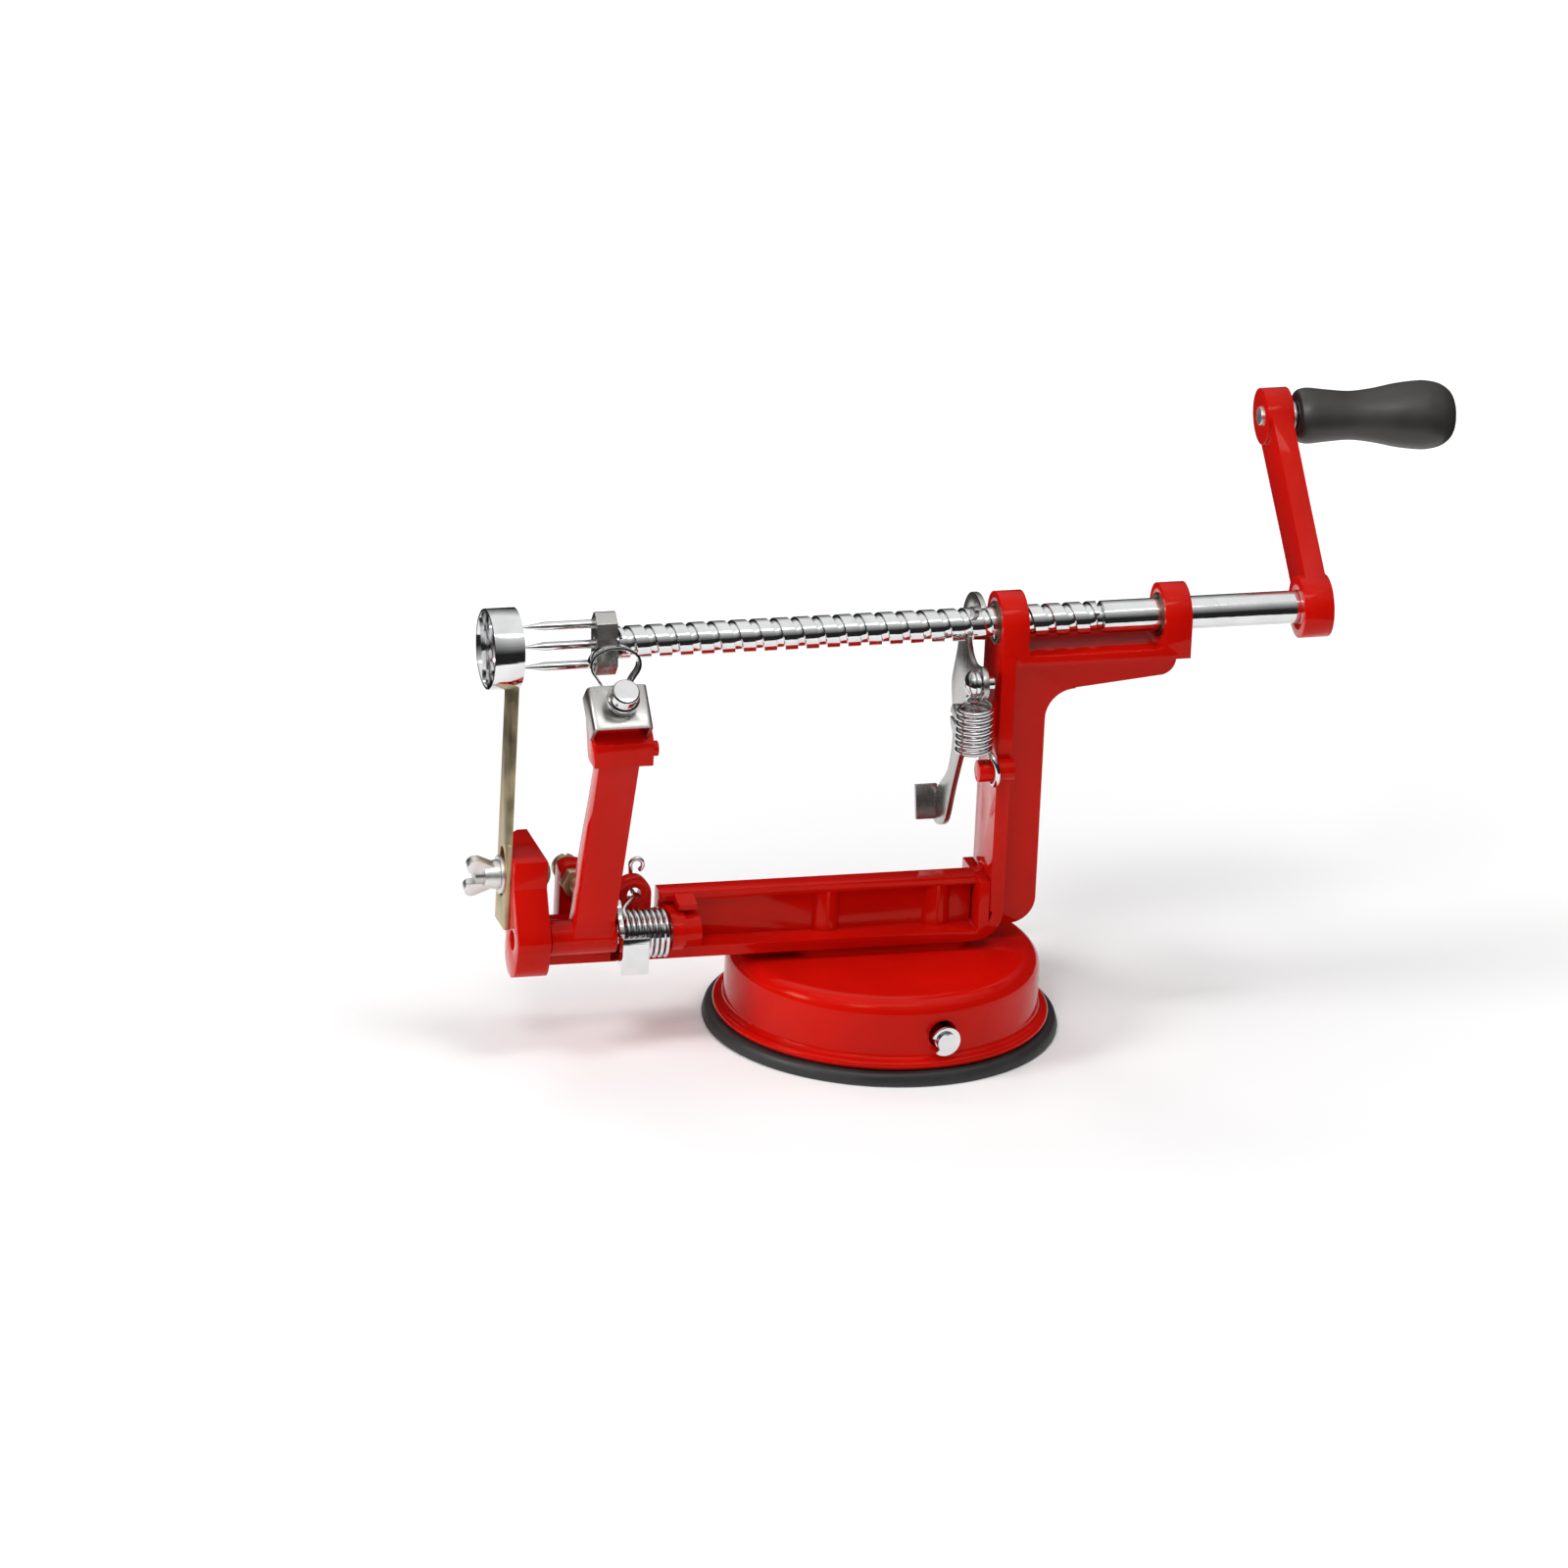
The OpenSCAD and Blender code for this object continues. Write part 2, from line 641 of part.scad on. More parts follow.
module slicing_blade() {
    r = bolt_d / 2 + 0.2;
    edge_y = strip_y - strip_w / 2;
    color(dull_steel) difference() {
        translate([strip_x, edge_y, strip_foot_z]) cube([strip_t, strip_w, axis_z - ring_r - strip_foot_z + 2]);
        round_x(strip_x - over, slab_x, 0, axis_z, 2 * (ring_r + seat_gap));
        along_x(strip_x - over, slab_x) link([strip_y, bolt_z - 4], r, [strip_y, bolt_z + 6], r);
        // Ground cutting edge on the free part of the strip
        translate([0, 0, slab_top_z + 4]) linear_extrude(axis_z)
            polygon([[strip_x - over, edge_y - over], [strip_x - over, edge_y + 3.4],
                [strip_x, edge_y + 3], [strip_x + strip_t - 0.3, edge_y], [strip_x + strip_t - 0.3, edge_y - over]]);
    }
}

module coring_ring() {
    x1 = strip_x + strip_t;
    color(steel) difference() {
        round_x(x1 - ring_len, x1, 0, axis_z, 2 * ring_r);
        round_x(x1 - ring_len - over, x1 + over, 0, axis_z, 2 * (ring_r - ring_wall));
        // Cutting bevel inside the fruit's side
        translate([x1 - 1.2, 0, axis_z]) rotate([0, 90, 0])
            cylinder(r1 = ring_r - ring_wall - 0.01, r2 = ring_r - 0.2, h = 1.21);
    }
}

washer_x = strip_x - seat_gap - 1;

module blade_bolt() {
    color(steel) {
        round_x(washer_x - 7.4, slab_r_x + over, strip_y, bolt_z, bolt_d);
        translate([slab_r_x + seat_gap, strip_y, bolt_z]) rotate([0, 90, 0]) dome_head(9.4, 3);
    }
}

module blade_washer() {
    color(dull_steel) difference() {
        round_x(washer_x, washer_x + 1, strip_y, bolt_z, 11.4);
        round_x(washer_x - over, washer_x + 1 + over, strip_y, bolt_z, bolt_d + 2 * seat_gap);
    }
}

module wing_nut() {
    color(steel) translate([washer_x - 0.1, strip_y, bolt_z]) rotate([0, -90, 0]) difference() {
        union() {
            cylinder(d1 = 9, d2 = 7.6, h = 4.6);
            rotate([90, 0, -20]) linear_extrude(2.8, center = true)
                for (s = [-1, 1]) link([s * 2.4, 2.9], 2.1, [s * 4.3, 7.4], 2.5);
        }
        translate([0, 0, -over]) cylinder(d = bolt_d + 2 * run_gap, h = 12);
    }
}

// Peeling arm

// Local frame of the blade holder: z is the thumb screw's axis, y runs up the tilt
module at_holder() {
    translate([holder_x, holder_top[0], holder_top[1]]) rotate([holder_tilt, 0, 0]) children();
}

// Smooth curve through points
function spline(p, n) = [
    for (i = [0:len(p) - 2], k = [0:n - 1])
        let (t = k / n, a = p[max(i - 1, 0)], b = p[i], c = p[i + 1], d = p[min(i + 2, len(p) - 1)])
        0.5 * (2 * b + (c - a) * t + (2 * a - 5 * b + 4 * c - d) * t * t + (3 * b - a - 3 * c + d) * t * t * t),
    p[len(p) - 1]
];

screw_shank_d = 4;

module peel_arm() {
    back = spline([
        [-7, rod_z], [arm_back_y, stop_z - 3.4], [arm_back_y, stop_z + 2], [-9.9, 58], [-11.8, 70], [-14.4, 82], [-16.6, 96]
    ], 4);
    front = spline([[-22.2, 96], [-19.6, 72], [-16.8, 46], [-15.4, rod_z]], 4);
    color(enamel) difference() {
        union() {
            round_x(tube_x0, tube_x1, rod_y, rod_z, 2 * tube_r);
            intersection() {
                along_y(-30, 0) polygon([[holder_x - 9.3, rod_z], [holder_x + 2.5, rod_z], [holder_x + 6.8, 97], [holder_x - 5.5, 97]]);
                along_x(holder_x - 15, holder_x + 15) polygon(concat(back, front));
            }
            // Platform with its top along the holder's tilt
            along_x(holder_x - 7.4, holder_x + 10.4)
                polygon([[-23.5, 94.5], [-23.5, 101.6], [-13.2, 110.8], [-10.4, 107.2], [-15.4, 95.2], [-17, 94.5]]);
            // Round lug at the platform's right end
            round_x(holder_x + 10, holder_x + 12, -21, 99, 4.6);
            at_holder() translate([-6.5, -holder_l / 2 + 2.6, -12]) cube([13, holder_l / 2 + 1, 12 - holder_t - seat_gap]);
        }
        round_x(tube_x0 - over, tube_x1 + over, rod_y, rod_z, rod_d + 2 * run_gap);
        at_holder() translate([0, thumb_screw_y, -10]) cylinder(d = screw_shank_d + 2 * run_gap, h = 12);
    }
}

module blade_holder() {
    r = 1.8;
    color(steel) difference() {
        at_holder() rotate([90, 0, 0]) linear_extrude(holder_l, center = true) difference() {
            union() {
                translate([-holder_w / 2, -holder_wall_h]) square([holder_w, holder_wall_h - r]);
                translate([-holder_w / 2 + r, -holder_wall_h]) square([holder_w - 2 * r, holder_wall_h]);
                for (s = [-1, 1]) translate([s * (holder_w / 2 - r), -r]) circle(r);
            }
            translate([-holder_w / 2 + holder_t, -holder_wall_h - over])
                square([holder_w - 2 * holder_t, holder_wall_h + over - holder_t]);
        }
        at_holder() translate([0, thumb_screw_y, -3]) cylinder(d = screw_shank_d + 2 * run_gap, h = 6);
    }
}

// Strip polygon of thickness t along a path of points
function strip_along(path, t) = let (
    dirs = path_tangents(path),
    sides = [for (d = dirs) [-d[1], d[0]] * t / 2],
    last = len(path) - 1
) concat([for (i = [0:last]) path[i] + sides[i]], [for (i = [0:last]) path[last - i] - sides[last - i]]);

// Strip bent to a horseshoe loop, its two feet side by side in the holder
module peel_blade() {
    width = 4.2;
    right = [[4, -4], [4, -0.4], [5.3, 2.2], [7.2, 5.2], [6.8, 8.6], [3.8, 10.8]];
    loop = spline(concat(
        [for (i = [0:5]) [right[i][0], right[i][1]]], [[0, 11.5]], [for (i = [0:5]) [-right[5 - i][0], right[5 - i][1]]]
    ), 3);
    color(steel) at_holder() translate([0, holder_l / 2, -holder_t - 0.2]) rotate([blade_lean, 0, 0])
        translate([0, 0, -width]) linear_extrude(width) polygon(strip_along(loop, 0.8));
}

module peel_thumb_screw() {
    color(steel) at_holder() translate([0, thumb_screw_y, 0]) {
        translate([0, 0, -8]) cylinder(d = screw_shank_d, h = 9);
        translate([0, 0, 0.12]) cylinder(d = 7, h = 1);
        translate([0, 0, 1]) cylinder(d1 = 7.6, d2 = 9.8, h = 2);
        translate([0, 0, 3]) cylinder(d = 9.8, h = 1.6);
        translate([0, 0, 4.6]) cylinder(d1 = 9.8, d2 = 8.2, h = 0.6);
        translate([0, 0, 5]) cylinder(d = 8.2, h = 3.4);
        translate([0, 0, 8.4]) cylinder(d1 = 8.2, d2 = 7.2, h = 0.5);
    }
}

module arm_latch() {
    tab_y = -20.8;
    color(dull_steel) difference() {
        union() {
            along_x(latch_x, latch_x + latch_t) {
                translate([rod_y, rod_z]) circle(7);
                link([rod_y + 0.5, rod_z + 1], 6, [rod_y + 1.5, 43], 4);
                round_rect(tab_y, rod_z - 7.1, rod_y, rod_z + 2.4, 0.6);
            }
            translate([latch_x, tab_y, 27.5]) cube([8, 1.6, 11.3]);
        }
        round_x(latch_x - over, latch_x + latch_t + over, rod_y, rod_z, rod_d + 2 * run_gap);
    }
}

// Springs

function bezier(a, b, c, d, n) = [
    for (i = [1:n - 1]) let (t = i / n, s = 1 - t) s * s * s * a + 3 * s * s * t * b + 3 * s * t * t * c + t * t * t * d
];

arm_coil_r = (arm_coil_d - arm_wire) / 2;
arm_coil_x0 = latch_x + latch_t + 1.1;
arm_coil_x1 = boss_x0 - 1.4;
function arm_coil_at(f) = let (a = 270 - f * (360 * (arm_coils - 1) + 158))
    [arm_coil_x1 + f * (arm_coil_x0 - arm_coil_x1), rod_y + arm_coil_r * cos(a), rod_z + arm_coil_r * sin(a)];
hook_y = web_t / 2 + 1.3;
hook_r = 1.9;
arm_spring_path = let (
    n = 8 * (arm_coils - 1) + 4,
    coil = [for (i = [0:n]) arm_coil_at(i / n)],
    a = coil[n],
    hole = [hook_lug_x, 0, hook_lug_z],
    hook = [hook_lug_x + hook_r - 0.2, hook_y, hook_lug_z + 7.2]
) concat(
    [coil[0] + [0, 2.8, 0], coil[0] + [0, 1.4, 0]],
    coil,
    bezier(a, a + [0, 4.6, 1.9], hole - [0, 8, 0], hole - [0, 2.6, 0], 7),
    [hole - [0, 2.6, 0], hole, hole + [0, 2, 0], [hook_lug_x, hook_y - 0.15, hook_lug_z + 0.35], [hook_lug_x, hook_y, hook_lug_z + 1.4]],
    [[hook_lug_x, hook_y, hook_lug_z + 4.4]],
    [for (p = arc([hook[0], hook[2]], hook_r, 175, -60, 7)) [p[0], hook_y, p[1]]]
);

module arm_spring() {
    color(steel) wire(arm_spring_path, arm_wire);
}

spring_x = lever_x - 1.1;
lever_coil_r = (lever_coil_d - lever_wire) / 2;
lever_coil_pitch = lever_wire + 0.5;
lever_coil_top = spring_anchor[1] - 6.8;
top_loop_r = (spring_screw_d + lever_wire) / 2 + 0.4;
low_loop_r = (stud_d + lever_wire) / 2 + 0.35;
low_hook_x = column_x - 1.6;
release_spring_path = let (
    n = 8 * lever_coils + 2,
    coil = [for (i = [0:n]) [spring_x + lever_coil_r * sin(45 * i), stud_y + lever_coil_r * cos(45 * i),
        lever_coil_top - lever_coil_pitch * i / 8]],
    top = [for (p = arc(spring_anchor, top_loop_r, -10, 250, 9)) [spring_x, p[0], p[1]]],
    low = [for (p = arc([stud_y, stud_z], low_loop_r, 180, 400, 9)) [low_hook_x, p[0], p[1]]],
    a = top[9],
    b = coil[0],
    c = coil[n],
    d = low[0]
) concat(
    top,
    bezier(a, a + [0, 3.6, -1.3], b - [2.6, 0, -0.2], b, 6),
    coil,
    bezier(c, c - [0, 3.4, 0.3], d + [0, 0, 3.6], d, 6),
    low
);

module release_spring() {
    color(steel) wire(release_spring_path, lever_wire);
}
echo(arm_spring_gap = wire_gap(arm_spring_path, arm_wire, 5), release_spring_gap = wire_gap(release_spring_path, lever_wire, 5));

// Release lever

module lever_outline() {
    reach = shaft_d / 2 + 0.35;
    polygon(concat(
        spline([[-11.5, 115], [-6, 113.4], [-1.9, 113], [2.2, 114.8], [reach + 0.6, axis_z - 5]], 3),
        [[reach, axis_z - 3.6]],
        arc([0, axis_z], reach, 8, 112, 8),
        spline([[-6, axis_z + 6.6], [-8.8, axis_z + 7.8], [-7.2, axis_z + 9.4], [-2.6, axis_z + 10.2], [3.4, axis_z + 8.8],
            [8.6, axis_z + 4.4], [12.2, axis_z - 3], [14.2, 112], [17.2, 104], [18.8, 98.6], [16.9, 92.5], [14.8, 82],
            [18.4, 71], [27.2, 62.7], [30.6, 57], [31.5, 51.2], [29, 50.1], [23, 51.6], [18, 55.6], [13, 67],
            [6.4, 80], [1.2, 87], [-0.8, 93], [-2.4, 101], [-6, 104.6], [-11.5, 105]], 3)
    ));
    translate(spring_anchor) circle(5);
}

module release_lever() {
    tooth_t = 1.2;
    tooth_tip = shaft_d / 2 - groove_depth + 0.3;
    color(steel) difference() {
        union() {
            along_x(lever_x, lever_x + lever_t) lever_outline();
            // Tooth in the groove, behind the shaft
            along_x(lever_mid_x - tooth_t / 2, lever_mid_x + tooth_t / 2) intersection() {
                difference() {
                    translate([0, axis_z - 0.9]) square([shaft_d, 1.8]);
                    translate([0, axis_z]) circle(tooth_tip);
                }
            }
            // Thumb tab bent to the left
            translate([lever_x - 5.8, 28.4, 51.4]) rotate([-14, 0, 0]) cube([6.6, 1.6, 10.4]);
        }
        round_x(lever_x - over, lever_x + lever_t + over, lever_pivot[0], lever_pivot[1], lever_pivot_d + 2 * run_gap);
        round_x(lever_x - over, lever_x + lever_t + over, spring_anchor[0], spring_anchor[1], spring_screw_d + 2 * seat_gap);
    }
}

module spring_screw() {
    head_x = spring_x - lever_wire / 2 - 0.4;
    y = spring_anchor[0];
    z = spring_anchor[1];
    color(steel) difference() {
        union() {
            round_x(head_x - over, lever_x + lever_t + 2.4, y, z, spring_screw_d);
            intersection() {
                round_x(head_x - 3, head_x, y, z, 8);
                translate([head_x + 2.4, y, z]) sphere(r = 5);
            }
        }
        translate([head_x - 4, y, z]) rotate([35, 0, 0]) translate([0, -6, -0.6]) cube([2.6, 12, 1.2]);
    }
}

// Shaft, fork and crank

module bush(x) {
    color(dull_steel) difference() {
        round_x(x - 0.4, x + lug_t + 0.4, 0, axis_z, lug_bore_d - 2 * run_gap);
        round_x(x - over, x + lug_t + over, 0, axis_z, bush_bore_d);
    }
}

module front_bush() {
    bush(column_x);
}

module rear_bush() {
    bush(rear_lug_x);
}

// Shaft with a right-hand groove of one start
module lead_screw() {
    root_r = shaft_d / 2 - groove_depth;
    half = 180 * groove_w / pitch;
    start = 90 - 360 * (lever_mid_x - fork_x) / pitch;
    section = concat(arc([0, 0], root_r, -half + 4, half - 4, 4), arc([0, 0], shaft_d / 2, half, 360 - half, 10));
    color(steel) {
        translate([fork_x, 0, axis_z]) rotate([0, 90, 0]) rotate(start)
            linear_extrude(thread_len, twist = -360 * thread_turns, slices = 8 * thread_turns, segments = len(section), convexity = 10)
                polygon(section);
        // Runout neck between the groove and the plain part
        round_x(thread_end_x - over, thread_end_x + 1.2 + over, 0, axis_z, 2 * root_r - 0.6);
        round_x(thread_end_x + 1.2, crank_hub_x + crank_hub_t - 0.6, 0, axis_z, shaft_d);
        round_x(fork_x - spigot_l, fork_x + over, 0, axis_z, spigot_d);
    }
}

// Places the crank at its lean
module at_lean() {
    translate([0, 0, axis_z]) rotate([-crank_lean, 0, 0]) children();
}

// Places the fork at its own lean
module at_fork() {
    translate([0, 0, axis_z]) rotate([-fork_lean, 0, 0]) children();
}

prong_d = 2.6;
prong_root_x = fork_x - spigot_l - 0.4;
prong_offset = [-6, 0, 6];

module fork_hub() {
    h = fork_h / 2;
    w = fork_w / 2;
    c = fork_chamfer;
    color(steel) at_fork() difference() {
        along_x(fork_x - fork_t, fork_x - seat_gap)
            polygon([[-h, c - w], [c - h, -w], [h - c, -w], [h, c - w], [h, w - c], [h - c, w], [c - h, w], [-h, w - c]]);
        round_x(fork_x - spigot_l - 0.2, fork_x + over, 0, 0, spigot_d + 2 * seat_gap);
        for (z = prong_offset) round_x(fork_x - fork_t - over, prong_root_x + 0.1, 0, z, prong_d + 2 * seat_gap);
    }
}

module fork_prongs() {
    tip_l = 7;
    hub_x = fork_x - fork_t;
    color(steel) at_fork() for (z = prong_offset) {
        round_x(hub_x - prong_l + tip_l, prong_root_x, 0, z, prong_d);
        translate([hub_x - prong_l, 0, z]) rotate([0, 90, 0]) cylinder(d1 = 0.5, d2 = prong_d, h = tip_l);
    }
}

crank_mid_x = crank_hub_x + crank_hub_t / 2 + 0.6;
grip_gap = 6.4;

// Frame of the crank pin, its x axis drooped
module at_pin() {
    translate([crank_mid_x, crank_r * sin(crank_lean), axis_z + crank_r * cos(crank_lean)])
        rotate([0, grip_droop, 0]) children();
}

module crank_arm() {
    color(enamel) difference() {
        at_lean() {
            round_x(crank_hub_x, crank_hub_x + crank_hub_t, 0, 0, 2 * crank_hub_r);
            along_x(crank_mid_x - crank_bar_t / 2, crank_mid_x + crank_bar_t / 2)
                link([0, 0], crank_hub_r - 1.2, [0, crank_r], crank_eye_r - 1);
            round_x(crank_mid_x - crank_eye_t / 2, crank_mid_x + crank_eye_t / 2, 0, crank_r, 2 * crank_eye_r);
        }
        round_x(crank_hub_x - over, crank_hub_x + crank_hub_t + over, 0, axis_z, shaft_d + 2 * seat_gap);
        at_pin() round_x(-10, 10, 0, 0, pin_d + 2 * seat_gap);
    }
}

module grip_pin() {
    color(steel) at_pin() {
        round_x(-crank_eye_t / 2 - 0.6, grip_gap + grip_l - 9, 0, 0, pin_d);
        round_x(crank_eye_t / 2 + 0.5, grip_gap - 0.3, 0, 0, 9);
    }
}

module handle_grip() {
    r = grip_d / 2;
    side = spline([
        [5, 0], [6.9, 0.3], [7.9, 1.4], [8.3, 4], [7.7, 10], [7.3, 17], [8.1, 24], [9.5, 31], [r, 39], [9.5, 44.6], [7.6, 47.8], [4.6, 48.8]
    ], 2);
    color(rubber) at_pin() translate([grip_gap, 0, 0]) rotate([0, 90, 0]) difference() {
        rotate_extrude() polygon(concat([[0, 0]], [for (p = side) [p[0], p[1] * grip_l / 49]], [[0, grip_l]]));
        translate([0, 0, -over]) cylinder(d = pin_d + 2 * run_gap, h = grip_l - 8 + over);
    }
}

frame_casting();
base_cap();
suction_cup();
frame_screws();
slicing_blade();
coring_ring();
blade_bolt();
blade_washer();
wing_nut();
pivot_rod();
stop_screw();
stop_nut();
lever_pivot_screw();
release_lever();
spring_screw();
release_spring();
arm_spring();
arm_latch();
peel_arm();
blade_holder();
peel_blade();
peel_thumb_screw();
front_bush();
rear_bush();
lead_screw();
fork_hub();
fork_prongs();
crank_arm();
grip_pin();
handle_grip();
cam_shaft();
retaining_clip();
suction_lever();
pull_post();
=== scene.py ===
"""Looks of a hand-cranked apple peeler on a suction base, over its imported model."""
import json
import math

import bmesh
import bpy
import numpy as np
from mathutils import Matrix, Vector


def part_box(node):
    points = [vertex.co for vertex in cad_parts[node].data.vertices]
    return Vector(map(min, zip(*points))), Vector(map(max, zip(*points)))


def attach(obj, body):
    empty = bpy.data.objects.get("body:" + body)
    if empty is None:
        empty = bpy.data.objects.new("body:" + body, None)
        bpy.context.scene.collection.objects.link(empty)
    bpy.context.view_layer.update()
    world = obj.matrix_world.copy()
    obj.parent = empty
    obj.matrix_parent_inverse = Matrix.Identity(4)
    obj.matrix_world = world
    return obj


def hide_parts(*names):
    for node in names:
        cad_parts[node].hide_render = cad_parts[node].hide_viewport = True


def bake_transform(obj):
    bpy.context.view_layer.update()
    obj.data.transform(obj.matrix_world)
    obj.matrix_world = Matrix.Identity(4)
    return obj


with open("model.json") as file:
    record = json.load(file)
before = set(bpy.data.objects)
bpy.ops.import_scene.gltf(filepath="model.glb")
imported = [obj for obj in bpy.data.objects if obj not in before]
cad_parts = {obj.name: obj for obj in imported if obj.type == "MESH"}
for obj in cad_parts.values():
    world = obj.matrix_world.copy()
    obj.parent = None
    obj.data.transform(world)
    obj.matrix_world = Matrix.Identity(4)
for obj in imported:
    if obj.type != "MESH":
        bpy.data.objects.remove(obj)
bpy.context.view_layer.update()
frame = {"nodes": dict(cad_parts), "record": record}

bl_info = {
    "name": "Apple peeler dress",
    "version": (1, 0, 0),
    "blender": (4, 5, 0),
    "location": "View3D > Sidebar > Peeler",
    "description": "Dresses the packed apple peeler with its finishes, springs, grooved shaft and grip",
    "category": "Object",
}

MM = 0.001
FULL_TURN = 2 * math.pi

# Places and the crank's lean that the source gives, in metres and radians
SHAFT_Z = 0.1244
TOOTH_X = 0.0231
ROD_Y, ROD_Z = -0.0105, 0.0364
CRANK_FACE_X = 0.1267
CRANK_LENGTH = 0.065
CRANK_LEAN = math.radians(51)

BODY_OF = {node: body for body, nodes in frame["record"]["behaviour"]["bodies"].items() for node in nodes}
SLOT_OF = {row["node"]: row["material_slot"] for row in frame["record"]["subparts"]}


# Sizes and colours that a user would change


class PeelerSizes(bpy.types.PropertyGroup):
    """Sizes of the dressed pieces, in metres."""

    casting_round: bpy.props.FloatProperty(
        name="Casting round", description="Radius on the edges of the cast pieces", default=0.9 * MM,
        subtype="DISTANCE",
    )
    sheet_round: bpy.props.FloatProperty(
        name="Sheet round", description="Radius on the edges of stamped sheet", default=0.22 * MM,
        subtype="DISTANCE",
    )
    shaft_radius: bpy.props.FloatProperty(
        name="Shaft radius", description="Crest radius of the shaft", default=4.9 * MM, subtype="DISTANCE",
    )
    groove_depth: bpy.props.FloatProperty(
        name="Groove depth", description="Depth of the helical groove", default=0.9 * MM, subtype="DISTANCE",
    )
    groove_width: bpy.props.FloatProperty(
        name="Groove width", description="Width of the groove along the shaft", default=2.3 * MM,
        subtype="DISTANCE",
    )
    groove_pitch: bpy.props.FloatProperty(
        name="Groove pitch", description="Feed of one turn", default=6.35 * MM, subtype="DISTANCE",
    )


class PeelerColours(bpy.types.PropertyGroup):
    """Colours of the finishes, as linear values."""

    enamel: bpy.props.FloatVectorProperty(
        name="Enamel", description="Red enamel of the castings", size=3, subtype="COLOR",
        default=(0.54, 0.0042, 0.0016),
    )
    plating: bpy.props.FloatVectorProperty(
        name="Plating", description="Bright plating", size=3, subtype="COLOR", default=(0.74, 0.745, 0.75),
    )
    sheet: bpy.props.FloatVectorProperty(
        name="Sheet", description="Satin stamped sheet", size=3, subtype="COLOR", default=(0.47, 0.46, 0.44),
    )
    dull: bpy.props.FloatVectorProperty(
        name="Dull plating", description="Dull, slightly yellow plating", size=3, subtype="COLOR",
        default=(0.56, 0.46, 0.285),
    )
    zinc: bpy.props.FloatVectorProperty(
        name="Zinc", description="Bright zinc of the nut, washer and pin", size=3, subtype="COLOR",
        default=(0.73, 0.73, 0.71),
    )
    # Painted shade: this dark colour stands for the shade inside the bores round the shaft
    bush: bpy.props.FloatVectorProperty(
        name="Bush", description="Dark oiled bronze of the bushes", size=3, subtype="COLOR",
        default=(0.13, 0.105, 0.075),
    )
    rubber: bpy.props.FloatVectorProperty(
        name="Rubber", description="Black rubber of the suction disc", size=3, subtype="COLOR",
        default=(0.012, 0.012, 0.012),
    )
    grip: bpy.props.FloatVectorProperty(
        name="Grip", description="Satin black grip", size=3, subtype="COLOR", default=(0.025, 0.0235, 0.0215),
    )


# Shader maths as expressions

# The range that a noise mostly takes
NOISE_REACH = (0.3, 0.7)
BLACK = (0, 0, 0, 1)
WHITE = (1, 1, 1, 1)


class Sock:
    """A shader socket that takes part in expressions; each operator adds a Math node."""

    def __init__(self, shade, socket):
        self.shade = shade
        self.socket = socket

    def _math(self, operation, a, b):
        return self.shade.node("ShaderNodeMath", {"operation": operation}, {0: a, 1: b})["Value"]

    def __add__(self, other):
        return self._math("ADD", self, other)

    def __radd__(self, other):
        return self._math("ADD", other, self)

    def __sub__(self, other):
        return self._math("SUBTRACT", self, other)

    def __rsub__(self, other):
        return self._math("SUBTRACT", other, self)

    def __mul__(self, other):
        return self._math("MULTIPLY", self, other)

    def __rmul__(self, other):
        return self._math("MULTIPLY", other, self)


class Made:
    """A node's outputs, by name or number, as expression sockets."""

    def __init__(self, shade, node):
        self.shade = shade
        self.item = node

    def __getitem__(self, name):
        return Sock(self.shade, self.item.outputs[name])


class Shade:
    """One material's or world's node tree."""

    def __init__(self, tree):
        self.tree = tree
        tree.nodes.clear()

    def node(self, kind, settings=None, inputs=None):
        """Adds a node: its settings first, then the values or links of its sockets."""
        made = self.tree.nodes.new(kind)
        for key, value in (settings or {}).items():
            setattr(made, key, value)
        for key, value in (inputs or {}).items():
            socket = made.inputs[key]
            if isinstance(value, Sock):
                self.tree.links.new(value.socket, socket)
            else:
                socket.default_value = value
        return Made(self, made)

    def noise(self, where, scale, detail):
        """Smooth noise from 0 to 1: scale is how many patches lie in a metre."""
        return self.node("ShaderNodeTexNoise", {}, {"Vector": where, "Scale": scale, "Detail": detail})["Fac"]

    def grain(self, where, scale, detail):
        """Noise whose patches have another scale along each axis."""
        drawn = self.node("ShaderNodeMapping", {}, {"Vector": where, "Scale": scale})["Vector"]
        return self.noise(drawn, 1.0, detail)

    def ramp(self, value, reach, a, b):
        """Maps the two ends of reach onto a and b, held beyond them."""
        inputs = {"Value": value, "From Min": reach[0], "From Max": reach[1], "To Min": a, "To Max": b}
        return self.node("ShaderNodeMapRange", {"clamp": True}, inputs)["Result"]

    def mix(self, share, a, b):
        """Mixes two colours."""
        return self.node("ShaderNodeMix", {"data_type": "RGBA"}, {0: share, 6: a, 7: b})[2]

    def tone(self, noise, colour, dark, light, reach=NOISE_REACH):
        """One colour from its darker to its lighter shade, by a noise."""
        return self.mix(self.ramp(noise, reach, 0.0, 1.0), rgba(colour, dark), rgba(colour, light))

    def bump(self, height, strength, depth=0.2 * MM):
        """A normal that a noise makes uneven."""
        inputs = {"Strength": strength, "Distance": depth, "Height": height}
        return self.node("ShaderNodeBump", {}, inputs)["Normal"]

    def surface(self, colour, rough, normal, **constants):
        """The shader of a finish; constants are sockets that are the same all over, with _ for a space."""
        inputs = {"Base Color": colour, "Roughness": rough, "Normal": normal}
        inputs.update({key.replace("_", " "): value for key, value in constants.items()})
        return self.node("ShaderNodeBsdfPrincipled", {}, inputs)["BSDF"]

    def seen(self):
        """1 for rays of the camera, of gloss and of glass, 0 for those that only carry light."""
        rays = self.node("ShaderNodeLightPath")
        return 1 - (1 - rays["Is Camera Ray"]) * (1 - rays["Is Glossy Ray"]) * (1 - rays["Is Transmission Ray"])


